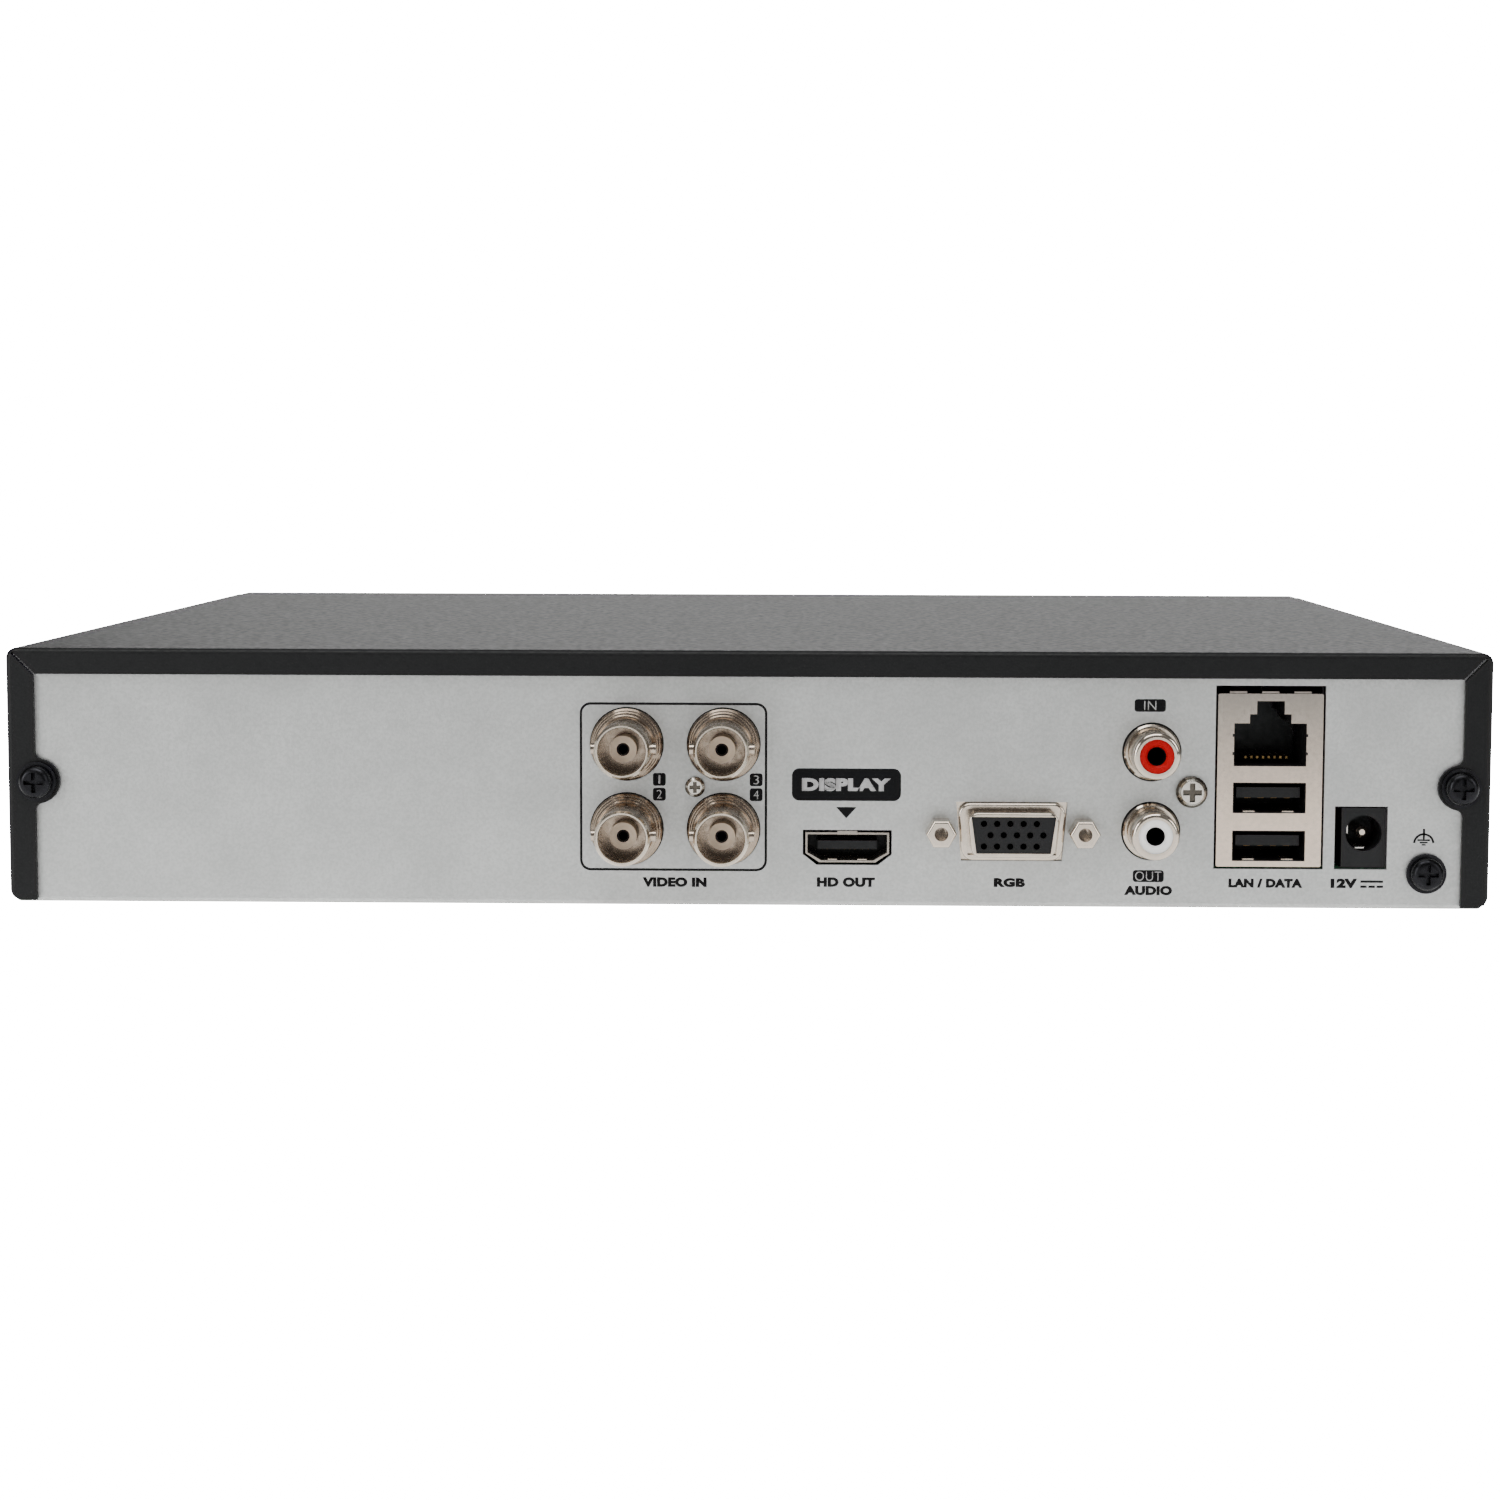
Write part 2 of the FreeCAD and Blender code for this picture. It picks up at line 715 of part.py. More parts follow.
def cut_front_wall(body):
    """Slots for the bezel's hooks and a hole for the lamp wires."""
    shapes = [centred(x, z, "hook_wide + 2 * hook_slot_gap", "hook_sheet + 2 * hook_slot_gap")
              for x, z in hook_places()]
    shapes.append(centred(LAMP_MIDDLE, LAMP_AXIS, "lamp_slot_wide", "lamp_slot_tall"))
    pocket(body, "XZ", f"{FRONT_WALL} - 1", f"{FRONT_INSIDE} + 1", *shapes)


def cut_floor(body):
    """Drive bosses, their screw holes, and ventilation slots under the mainboard."""
    for x, y in drive_hole_places():
        pad(body, "XY", FLOOR, DRIVE_BASE, circle(x, y, "drive_boss_radius"))
        pocket(body, "XY", "foot_height - 1", "foot_height + 2", circle(x, y, "pan_head_radius + 0.6"))
        pocket(body, "XY", "foot_height + 1", f"{DRIVE_BASE} + 1", circle(x, y, "thread_radius + 0.2"))
    start, front = f"({BOARD_RIGHT} + floor_vent_start)", f"({BOARD_FRONT} - floor_vent_gap)"
    opening = rectangle(start, front, f"{start} + vent_slot", f"{front} + floor_vent_long")
    slot = pocket(body, "XY", "foot_height - 1", f"{FLOOR} + 0.5", opening)
    row_of(body, slot, "X", "vent_count", "vent_pitch")


def build_feet():
    """Four stick-on rubber feet."""
    foot = master_body("foot_master")
    turned(foot, "XZ", ("0", "0"), ("foot_radius - 0.8", "0"), ("foot_radius", "0.8"),
           ("foot_radius", "foot_height"), ("0", "foot_height"))
    x = "(width / 2 - foot_inset)"
    rear, front = f"({PANEL} - foot_inset)", f"({FRONT_WALL} + foot_inset)"
    places = [(f"{sign}{x}", y, "0") for sign in ("0 - ", "") for y in (front, rear)]
    copies("rubber_feet", foot, places)


def case_screw_places():
    """Cover screws on the +X and -X ears, then the ground terminal: X and Z."""
    ear_z = "(foot_height + ear_height)"
    return [("width / 2 - ear_inset", ear_z), ("0 - (width / 2 - ear_inset)", ear_z),
            (from_wall("ground_from_wall"), "foot_height + ground_height")]


def build_case_screws():
    """Black cross-head screws with a washer under the head; the shank points to -Y."""
    names = ("cover_screw_left", "cover_screw_right", "ground_screw")
    for (x, z), name in zip(case_screw_places(), names):
        seat = PANEL if name == "ground_screw" else REAR
        body = new_body(name, x, f"{seat} + slide_gap / 4", z)
        turned(body, "XY", ("0", "0 - case_shank"), ("thread_radius - thread_gap - 0.4", "0 - case_shank"),
               ("thread_radius - thread_gap", "0.4 - case_shank"), ("thread_radius - thread_gap", "0"),
               ("washer_radius", "0"), ("washer_radius", "washer_height"),
               ("case_head_radius", "washer_height"),
               ("case_head_radius", "washer_height + case_head_height"),
               ("0", "washer_height + case_head_height"))
        top = cell("washer_height") + cell("case_head_height")
        round_edges(body, "case_head_height * 0.6", lambda e: e.Curve.TypeId == "Part::GeomCircle"
                    and abs(e.BoundBox.YMax - top) < 0.01 and e.BoundBox.YLength < 0.01)
        crown = "washer_height + case_head_height"
        cross_recess(body, "XZ", f"{crown} - 1.3", f"{crown} + 1", "case_head_radius * 1.25", "0.75")


def build_case_nuts():
    """Round clinch nuts behind the panel that the case screws go into."""
    nut = master_body("nut_master")
    turned(nut, "XY", ("thread_radius", "0 - nut_length"), ("nut_radius", "0 - nut_length"),
           ("nut_radius", "0"), ("thread_radius", "0"))
    copies("clinch_nuts", nut, [(x, PANEL_INSIDE, z) for x, z in case_screw_places()])


# ---------------------------------------------------------------------------------------------------------
# Front
# ---------------------------------------------------------------------------------------------------------
LAMP_MIDDLE = from_wall("(lamp_from_wall + lamp_pitch)")
LAMP_AXIS = "(foot_height + lamp_height)"
WINDOW_LOW = "(foot_height + window_low)"
WINDOW_TOP = f"({TOP} - window_margin)"
WINDOW_SIDE = "(width / 2 - window_margin)"
LAMP_BOARD_FACE = f"({FRONT} + bezel_depth - lamp_board_back)"


def hook_places():
    """Bezel hooks: two low and two high, X and Z."""
    return [(f"{sign}(width / 2 - hook_inset)", z) for sign in ("0 - ", "")
            for z in ("foot_height + hook_low", f"{TOP} - hook_drop")]


def lamp_places():
    return [(from_wall(f"(lamp_from_wall + {i} * lamp_pitch)"), LAMP_AXIS)
            for i in range(int(cell("lamp_count")))]


def build_bezel():
    """Hollow plastic front with a recess for the window, lamp holes, a grille and four hooks."""
    body = new_body("front_bezel")
    side = "(width / 2)"
    pad(body, "XZ", FRONT, FRONT_WALL, rectangle(f"0 - {side}", "foot_height", side, TOP))
    front = -(cell("depth") + cell("jack_reach")) / 2
    round_edges(body, "bezel_round", lambda e: abs(e.CenterOfMass.y - front) < 0.01
                or (along(e, Vector(0, 1, 0)) and e.Length > 1))
    pocket(body, "XZ", f"{FRONT} + bezel_wall + window_sheet", f"{FRONT_WALL} + 1",
           rectangle(f"0 - {side} + bezel_wall", "foot_height + bezel_wall", f"{side} - bezel_wall",
                     f"{TOP} - bezel_wall"))
    pocket(body, "XZ", f"{FRONT} - 1", f"{FRONT} + window_sheet",
           rectangle(f"0 - {WINDOW_SIDE}", WINDOW_LOW, WINDOW_SIDE, WINDOW_TOP))
    pocket(body, "XZ", f"{FRONT} - 1", f"{FRONT} + bezel_depth",
           *[circle(x, z, "lamp_radius + window_fit") for x, z in lamp_places()])
    for x, z in hook_places():
        hook = centred(x, z, "hook_wide", "hook_sheet")
        pad(body, "XZ", f"{FRONT} + bezel_wall", f"{FRONT_INSIDE} + hook_long", hook)
    low = "(foot_height + grille_rise)"
    start = "(0 - (grille_count - 1) * grille_pitch / 2 - grille_slot / 2)"
    slot = pocket(body, "XZ", f"{FRONT} - 1", f"{FRONT} + bezel_wall + window_sheet + 0.5",
                  rectangle(start, low, f"{start} + grille_slot", f"{low} + grille_tall"))
    row_of(body, slot, "X", "grille_count", "grille_pitch")
    for sign in ("-", "+"):
        post = f"{LAMP_MIDDLE} {sign} (lamp_board_long / 2 - lamp_board_post)"
        pad(body, "XZ", f"{FRONT} + bezel_wall", LAMP_BOARD_FACE, circle(post, LAMP_AXIS, "lamp_board_post"))


def build_window():
    """Gloss strip that sits in the bezel's recess."""
    body = new_body("front_window")
    half = f"({WINDOW_SIDE} - window_fit)"
    strip = rectangle(f"0 - {half}", f"{WINDOW_LOW} + window_fit", half, f"{WINDOW_TOP} - window_fit")
    pad(body, "XZ", FRONT, f"{FRONT} + window_sheet", strip)
    pocket(body, "XZ", f"{FRONT} - 1", f"{FRONT} + window_sheet + 1",
           *[circle(x, z, "lamp_radius + window_fit") for x, z in lamp_places()])


def build_light_pipes():
    """Clear rods that carry each lamp's light to the front."""
    pipe = master_body("pipe_master")
    turned(pipe, "XY", ("0", "0"), ("lamp_radius", "0"), ("lamp_radius", "bezel_depth - pipe_gap"),
           ("0", "bezel_depth - pipe_gap"))
    copies("light_pipes", pipe, [(x, FRONT, z) for x, z in lamp_places()])


def build_lamp_board():
    """Small circuit board behind the bezel, and the lamps on it."""
    body = new_body("lamp_board")
    pad(body, "XZ", LAMP_BOARD_FACE, f"{LAMP_BOARD_FACE} + lamp_board_sheet",
        centred(LAMP_MIDDLE, LAMP_AXIS, "lamp_board_long", "lamp_board_tall"))
    lamps = [box("lamp", f"{x} - lamp_wide / 2", f"{LAMP_BOARD_FACE} - lamp_thick", f"{z} - lamp_wide / 2",
                 "lamp_wide", "lamp_thick", "lamp_wide") for x, z in lamp_places()]
    group("status_lamps", lamps)


# ---------------------------------------------------------------------------------------------------------
# Mainboard
# ---------------------------------------------------------------------------------------------------------
def board_hole_places():
    xs = (f"{BOARD_RIGHT} + board_hole_inset", f"{BOARD_RIGHT} + board_middle_hole",
          f"{BOARD_LEFT} - board_hole_inset")
    ys = (f"{BOARD_FRONT} + board_hole_inset", f"{BOARD_REAR} - board_rear_row")
    return [(x, y) for x in xs for y in ys]


def build_board():
    body = new_body("mainboard")
    pad(body, "XY", BOARD_UNDERSIDE, BOARD_TOP, rectangle(BOARD_RIGHT, BOARD_FRONT, BOARD_LEFT, BOARD_REAR))
    pocket(body, "XY", f"{BOARD_UNDERSIDE} - 1", f"{BOARD_TOP} + 1",
           *[circle(x, y, "thread_radius + 0.2") for x, y in board_hole_places()])
    post = master_body("standoff_master")
    turned(post, "XZ", ("thread_radius", "0"), ("standoff_radius", "0"), ("standoff_radius", "board_lift"),
           ("thread_radius", "board_lift"))
    copies("board_standoffs", post, [(x, y, FLOOR) for x, y in board_hole_places()])
    screw = master_body("board_screw_master")
    pan_screw(screw, "XZ", "pan_shank")
    copies("board_screws", screw, [(x, y, BOARD_TOP) for x, y in board_hole_places()])


def pan_screw(body, plane, shank):
    """Pan-head screw whose head sits on the axis's zero level."""
    radius = "thread_radius - thread_gap"
    turned(body, plane, ("0", f"0 - {shank}"), (radius, f"0 - {shank}"), (radius, "0"),
           ("pan_head_radius", "0"), ("pan_head_radius", "pan_head_height * 0.45"),
           ("pan_head_radius * 0.72", "pan_head_height"), ("0", "pan_head_height"))
    across = "XZ" if plane == "XY" else "XY"
    cross_recess(body, across, "pan_head_height - recess_depth", "pan_head_height + 1",
                 "pan_head_radius * 1.2", "recess_blade")


# ---------------------------------------------------------------------------------------------------------
# Bayonet video jacks
# ---------------------------------------------------------------------------------------------------------
def bnc_places():
    """X and Z of the four jacks, numbered down each column, from the +X column on."""
    low = f"({BOARD_TOP} + bnc_low_row)"
    columns = [f"({from_wall('bnc_from_wall')} {sign} bnc_pitch / 2)" for sign in ("+", "-")]
    return [(x, z) for x in columns for z in (f"({low} + bnc_row_pitch)", low)]


BNC_SCREW = (f"({from_wall('bnc_from_wall')} - bnc_screw_shift)",
             f"({BOARD_TOP} + bnc_low_row + bnc_row_pitch / 2)")


def build_bnc():
    for number, (x, z) in enumerate(bnc_places(), 1):
        bnc_barrel(f"bnc_barrel_{number}", x, z)
    core = master_body("dielectric_master")
    inner = "bnc_contact_radius + 0.02"
    turned(core, "XY", (inner, "0 - bnc_root"), ("bnc_dielectric_radius", "0 - bnc_root"),
           ("bnc_dielectric_radius", "bnc_dielectric_face"), (inner, "bnc_dielectric_face"))
    copies("bnc_dielectrics", core, [(x, PANEL, z) for x, z in bnc_places()])
    contact = master_body("contact_master")
    mouth = "bnc_dielectric_face - 0.2"
    turned(contact, "XY", ("0", "0 - bnc_root - 2"), ("bnc_contact_radius", "0 - bnc_root - 2"),
           ("bnc_contact_radius", mouth), ("bnc_contact_bore", mouth),
           ("bnc_contact_bore", f"{mouth} - bnc_contact_deep"), ("0", f"{mouth} - bnc_contact_deep"))
    copies("bnc_contacts", contact, [(x, PANEL, z) for x, z in bnc_places()])
    bnc_block()


def bnc_barrel(name, x, z):
    """Nickel barrel: a base in the panel hole, a collar, then the barrel with its two bayonet lugs."""
    body = new_body(name, x, PANEL, z)
    mouth = "(jack_reach + cover_sheet + slide_gap)"
    inner, shoulder = "bnc_dielectric_radius + 0.02", "0 - chassis_sheet - 0.5"
    turned(body, "XY", (inner, "0 - bnc_root"), ("bnc_collar_radius", "0 - bnc_root"),
           ("bnc_collar_radius", shoulder), ("bnc_base_radius", shoulder),
           ("bnc_base_radius", "1.1"), ("bnc_base_radius - 0.3", "1.4"), ("bnc_rib_radius", "1.4"),
           ("bnc_rib_radius", "2.3"), ("bnc_rib_radius - 0.2", "2.5"), ("bnc_collar_radius", "2.5"),
           ("bnc_collar_radius", "3.9"), ("bnc_collar_radius - 0.2", "4.1"),
           ("bnc_barrel_radius + 0.2", "4.1"), ("bnc_barrel_radius - 0.3", "5.2"),
           ("bnc_barrel_radius - 0.3", "5.8"), ("bnc_barrel_radius", "6.1"),
           ("bnc_barrel_radius", f"{mouth} - 0.5"),
           ("bnc_barrel_radius - 0.35", mouth), ("bnc_bore_radius + 0.12", mouth),
           ("bnc_bore_radius", f"{mouth} - 0.3"), ("bnc_bore_radius", f"{mouth} - bnc_bore_depth"),
           (inner, f"{mouth} - bnc_bore_depth"))
    lug = "(bnc_bore_radius + 0.3)"
    place_y = f"({mouth} - bnc_lug_back)"
    for low, high in ((f"0 - bnc_lug_reach", f"0 - {lug}"), (lug, "bnc_lug_reach")):
        pad(body, "YZ", low, high, circle(place_y, "0", "bnc_lug_radius"))


def bnc_block():
    """Moulded block on the mainboard that holds the four barrels."""
    body = new_body("bnc_block", from_wall("bnc_from_wall"), PANEL_INSIDE, BOARD_TOP)
    half = "(bnc_pitch / 2 + bnc_block_margin)"
    pad(body, "XZ", "0 - bnc_block_deep", "0 - 0.2", rectangle(f"0 - {half}", "0.05", half, "bnc_block_tall"))
    seats, wires = [], []
    for x in ("bnc_pitch / 2", "0 - bnc_pitch / 2"):
        for z in ("bnc_low_row", "bnc_low_row + bnc_row_pitch"):
            seats.append(circle(x, z, "bnc_collar_radius + 0.05"))
            wires.append(circle(x, z, "bnc_contact_radius + 0.05"))
    pocket(body, "XZ", "0 - bnc_root + chassis_sheet - 0.05", "1", *seats)
    recess = [circle(x, z, "bnc_base_radius + 0.05") for x in ("bnc_pitch / 2", "0 - bnc_pitch / 2")
              for z in ("bnc_low_row", "bnc_low_row + bnc_row_pitch")]
    pocket(body, "XZ", "0 - 0.6", "1", *recess)
    pocket(body, "XZ", "0 - bnc_root - 3", "1", *wires)
    bore = circle("0 - bnc_screw_shift", "bnc_low_row + bnc_row_pitch / 2", "mini_thread_radius + 0.05")
    pocket(body, "XZ", "0 - mini_shank - 1.5", "1", bore)
    screw = new_body("bnc_block_screw", BNC_SCREW[0], PANEL, BNC_SCREW[1])
    turned(screw, "XY", ("0", "0 - mini_shank"), ("mini_thread_radius", "0 - mini_shank"),
           ("mini_thread_radius", "0"), ("mini_head_radius", "0"),
           ("mini_head_radius", "mini_head_height * 0.5"), ("mini_head_radius * 0.7", "mini_head_height"),
           ("0", "mini_head_height"))
    cross_recess(screw, "XZ", "mini_head_height * 0.45", "mini_head_height + 1",
                 "mini_head_radius * 1.1", "recess_blade * 0.7")


# ---------------------------------------------------------------------------------------------------------
# Digital and analogue video ports
# ---------------------------------------------------------------------------------------------------------
def hd_outline(wide, tall, base, x="0", z="0"):
    """Port outline: straight upper sides and drawn-in lower corners."""
    half, low = f"(({wide}) / 2)", f"({z} + {base})"
    steps = ((half, f"({tall}) * 1"), (half, f"({tall}) * 0.3"), (f"({half} - 1.1)", f"({tall}) * 0.17"),
             (f"({half} - 2.4)", "0"))
    right = [(f"{x} + {a}", f"{low} + {b}") for a, b in steps]
    left = [(f"{x} - {a}", f"{low} + {b}") for a, b in reversed(steps)]
    return outline(*right, *left)


def build_hd_port():
    x = from_wall("hd_from_wall")
    shell = new_body("hd_port_shell", x, f"{PANEL} - hd_recess", BOARD_TOP)
    pad(shell, "XZ", "0 - hd_long", "0", hd_outline("hd_shell_wide", "hd_shell_tall", "hd_shell_base"))
    inside = hd_outline("hd_shell_wide - 2 * hd_sheet", "hd_shell_tall - 2 * hd_sheet",
                        "hd_shell_base + hd_sheet")
    pocket(shell, "XZ", "0 - hd_long - 1", "1", inside)
    top = "(hd_shell_base + hd_shell_tall)"
    tab = rectangle("0 - hd_tab_wide / 2", f"{top} - hd_sheet", "hd_tab_wide / 2", f"{top} + 0.3")
    pad(shell, "XZ", "0 - hd_tab_deep", "0 + hd_recess * 0.5", tab)
    core = new_body("hd_port_core", x, f"{PANEL} - hd_recess", BOARD_TOP)
    gap = "(hd_sheet + 0.03)"
    pad(core, "XZ", "0 - hd_long", "0 - hd_long + 3",
        hd_outline(f"hd_shell_wide - 2 * {gap}", f"hd_shell_tall - 2 * {gap}", f"hd_shell_base + {gap}"))
    middle = "(hd_shell_base + hd_shell_tall * 0.56)"
    tongue = centred("0", middle, "hd_tongue_wide", "hd_tongue_thick")
    pad(core, "XZ", "0 - hd_long + 2", "0 - 1.2", tongue)


VGA_AXIS = f"({BOARD_TOP} + vga_rise)"


def vga_outline(wide, tall, x="0", z="0"):
    """Trapezium of the D-shaped port, wider at the top."""
    half, low, high = f"(({wide}) / 2)", f"{z} - ({tall}) / 2", f"{z} + ({tall}) / 2"
    return outline((f"{x} - {half}", high), (f"{x} + {half}", high), (f"{x} + {half} - vga_slant", low),
                   (f"{x} - {half} + vga_slant", low))


def build_vga():
    x = from_wall("vga_from_wall")
    shell = new_body("vga_shell", x, PANEL, VGA_AXIS)
    along_y = Vector(0, 1, 0)
    ring = vga_outline("vga_ring_wide", "vga_ring_tall")
    pad(shell, "XZ", "0 - chassis_sheet - 0.8", "vga_ring_reach", ring)
    round_edges(shell, "2.2", lambda e: along(e, along_y))
    round_edges(shell, "0.4", lambda e: abs(e.CenterOfMass.y - cell("vga_ring_reach")) < 0.01)
    pocket(shell, "XZ", "0 - 0.4", "vga_ring_reach + 1",
           vga_outline("vga_ring_wide - 2 * vga_ring_wall", "vga_ring_tall - 2 * vga_ring_wall"))
    pad(shell, "XZ", "0 - 0.6", "vga_shell_reach", vga_outline("vga_shell_wide", "vga_shell_tall"))
    reach = cell("vga_shell_reach")
    round_edges(shell, "1.7", lambda e: along(e, along_y) and e.BoundBox.YMax > reach - 0.01)
    round_edges(shell, "0.35", lambda e: abs(e.CenterOfMass.y - reach) < 0.01)
    pocket(shell, "XZ", "0 - chassis_sheet - 2", "vga_shell_reach + 1",
           vga_outline("vga_shell_wide - 2 * vga_shell_wall", "vga_shell_tall - 2 * vga_shell_wall"))
    plate = "(0 - chassis_sheet - 0.05)"
    pad(shell, "XZ", f"{plate} - vga_flange_sheet", plate, flange_ring())
    build_vga_core(x)
    build_vga_posts(x)


def flange_ring():
    """The flat flange behind the panel, around the port's opening."""

    def draw(sketch):
        centred("0", "0", "vga_flange_wide", "vga_flange_tall")(sketch)
        vga_outline("vga_ring_wide - 2 * vga_ring_wall", "vga_ring_tall - 2 * vga_ring_wall")(sketch)
        for sign in ("0 - ", ""):
            circle(f"{sign}vga_screw_pitch / 2", "0", "vga_post_radius - 0.6")(sketch)

    return draw


def build_vga_core(axis):
    """Black insulator with fifteen contact holes."""
    core = new_body("vga_core", axis, PANEL, VGA_AXIS)
    fit = "(vga_shell_wall + 0.03)"
    pad(core, "XZ", "0 - vga_block_deep", "vga_shell_reach - 0.25",
        vga_outline(f"vga_shell_wide - 2 * {fit}", f"vga_shell_tall - 2 * {fit}"))
    holes = []
    for row, shift in ((1, 0.25), (0, -0.25), (-1, 0.25)):
        for column in range(-2, 3):
            x, z = f"{column + shift} * vga_pin_pitch", f"{row} * vga_row_pitch"
            holes.append(circle(x, z, "vga_pin_radius"))
    pocket(core, "XZ", "vga_shell_reach - vga_pin_deep", "vga_shell_reach + 1", *holes)
    block = rectangle("0 - vga_ring_wide / 2", "0 - vga_rise + 0.05", "vga_ring_wide / 2",
                      "vga_ring_tall / 2 + 1")
    pad(core, "XZ", "0 - vga_block_deep", "0 - chassis_sheet - 1", block)


def build_vga_posts(x):
    """Hexagonal posts that the cable's thumbscrews go into."""
    post = master_body("post_master")
    hexagon = [tuple(f"{part:.6f} * vga_post_radius" for part in (math.cos(turn), math.sin(turn)))
               for turn in (math.pi * i / 3 for i in range(6))]
    pad(post, "XZ", "0", "vga_post_reach", outline(*hexagon))
    pad(post, "XZ", "0 - chassis_sheet - 5", "0", circle("0", "0", "vga_post_radius - 0.75"))
    round_edges(post, "0.45", lambda e: abs(e.CenterOfMass.y - cell("vga_post_reach")) < 0.01)
    pocket(post, "XZ", "0 - chassis_sheet - 3", "vga_post_reach + 1", circle("0", "0", "vga_post_bore"))
    places = [(f"{x} {sign} vga_screw_pitch / 2", PANEL, VGA_AXIS) for sign in ("-", "+")]
    copies("vga_posts", post, places)


# ---------------------------------------------------------------------------------------------------------
# Phono jacks
# ---------------------------------------------------------------------------------------------------------
def phono_rows():
    """Heights of the upper jack (in) and the lower jack (out)."""
    low = f"({BOARD_TOP} + phono_low_row)"
    return [f"({low} + phono_row_pitch)", low]


PHONO_SCREW = (f"({from_wall('phono_from_wall')} - phono_ear)",
               f"({BOARD_TOP} + phono_low_row + phono_row_pitch / 2)")


def build_phono():
    x = from_wall("phono_from_wall")
    for name, z in zip(("in", "out"), phono_rows()):
        barrel = new_body(f"phono_barrel_{name}", x, PANEL, z)
        mouth, root = "phono_reach", "0 - phono_root"
        turned(barrel, "XY", ("phono_insert_radius", root), ("phono_flange_radius", root),
               ("phono_flange_radius", "0.5"),
               ("phono_flange_radius - 0.3", "0.8"), ("phono_barrel_radius - 0.25", "0.8"),
               ("phono_barrel_radius - 0.25", "1.8"), ("phono_barrel_radius", "2.1"),
               ("phono_barrel_radius", mouth), ("phono_insert_radius", mouth))
        round_edges(barrel, "0.75", phono_rim)
        insert = new_body(f"phono_insert_{name}", x, PANEL, z)
        side, bottom = "phono_insert_radius - 0.02", f"{mouth} - phono_bore_depth"
        turned(insert, "XY", ("0", root), (side, root), (side, f"{mouth} - 0.25"),
               ("phono_bore_radius + 0.35", f"{mouth} - 0.25"), ("phono_bore_radius", f"{mouth} - 0.6"),
               ("phono_bore_radius", bottom), ("0", bottom))
    phono_block(x)


def phono_rim(edge):
    """The outer circle at the barrel's mouth."""
    at_mouth = abs(edge.BoundBox.YMax - cell("phono_reach")) < 0.01 and edge.BoundBox.YLength < 0.01
    return at_mouth and edge.BoundBox.XLength > 2 * cell("phono_insert_radius") + 1


def phono_block(x):
    block = new_body("phono_block", x, PANEL_INSIDE, BOARD_TOP)
    half = "(phono_block_wide / 2)"
    pad(block, "XZ", "0 - phono_block_deep", "0 - 0.1",
        rectangle(f"0 - {half}", "0.05", half, "phono_low_row + phono_row_pitch + 6"))
    middle = "(phono_low_row + phono_row_pitch / 2)"
    ear = rectangle("0 - phono_ear - 3.2", f"{middle} - phono_ear_half", "0", f"{middle} + phono_ear_half")
    pad(block, "XZ", "0 - phono_ear_thick", "0 - 0.1", ear)
    rows = ("phono_low_row", "phono_low_row + phono_row_pitch")
    seats = [circle("0", z, "phono_flange_radius + 0.03") for z in rows]
    pocket(block, "XZ", "0 - phono_root + chassis_sheet - 0.05", "1", *seats)
    pocket(block, "XZ", "0 - jack_screw_shank - 1", "1", circle("0 - phono_ear", middle, "thread_radius"))
    screw = new_body("phono_screw", PHONO_SCREW[0], PANEL, PHONO_SCREW[1])
    pan_screw(screw, "XY", "jack_screw_shank")


# ---------------------------------------------------------------------------------------------------------
# Network and data stack, and power inlet
# ---------------------------------------------------------------------------------------------------------
def stack_openings():
    """The network socket's stepped outline and the two data sockets, in the stack's own frame."""
    half, key, latch = "(lan_socket_wide / 2)", "(lan_key_wide / 2)", "(lan_latch_wide / 2)"
    low = "lan_socket_low"
    shoulder = f"{low} + lan_socket_tall"
    step = f"{shoulder} + lan_key_tall"
    crown = f"{step} + lan_latch_tall"
    right = [(half, low), (half, shoulder), (key, shoulder), (key, step), (latch, step), (latch, crown)]
    left = [(f"0 - {a}", b) for a, b in reversed(right)]
    data = [rectangle("0 - data_wide / 2", z, "data_wide / 2", f"{z} + data_tall") for z in data_rows()]
    return outline(*right, *left), data


def data_rows():
    return ["data_low", "data_low + data_pitch"]


def build_stack():
    x = from_wall("lan_from_wall")
    network, data = stack_openings()
    shield = new_body("stack_shield", x, PANEL, BOARD_TOP)
    half, top = "(lan_wide / 2)", "(lan_base + lan_tall)"
    pad(shield, "XZ", "0 - lan_long", "0", rectangle(f"0 - {half}", "lan_base", half, top))
    round_edges(shield, "0.3", lambda e: along(e, Vector(0, 1, 0)))
    pocket(shield, "XZ", "0 - lan_long - 1", "0 - lan_sheet",
           rectangle(f"0 - {half} + lan_sheet", "lan_base - 1", f"{half} - lan_sheet", f"{top} - lan_sheet"))
    pocket(shield, "XZ", "0 - 1", "1", network, *data)
    for centre in ("0 - 5.6", "0", "5.6"):
        pad(shield, "YZ", f"{centre} - 1.5", f"{centre} + 1.5", spring_finger())
    stack_core(x, network)
    y, z = f"{PANEL} - lan_socket_deep + 1", f"{BOARD_TOP} + lan_socket_low + 0.9"
    contacts = [box("spring", f"{x} + {i - 3.5} * 1.02 - 0.2", y, z, "0.4", "9", "0.4") for i in range(8)]
    group("network_contacts", contacts)


def spring_finger():
    """Side profile of a bent finger on top of the shield."""
    top = "(lan_base + lan_tall)"
    return outline(("0 - 9", f"{top} - 0.1"), ("0 - 9", f"{top} + 0.25"), ("0 - 2", f"{top} + 0.95"),
                   ("0 - 0.6", f"{top} + 0.35"), ("0 - 0.6", f"{top}"), ("0 - 2", f"{top} + 0.6"))


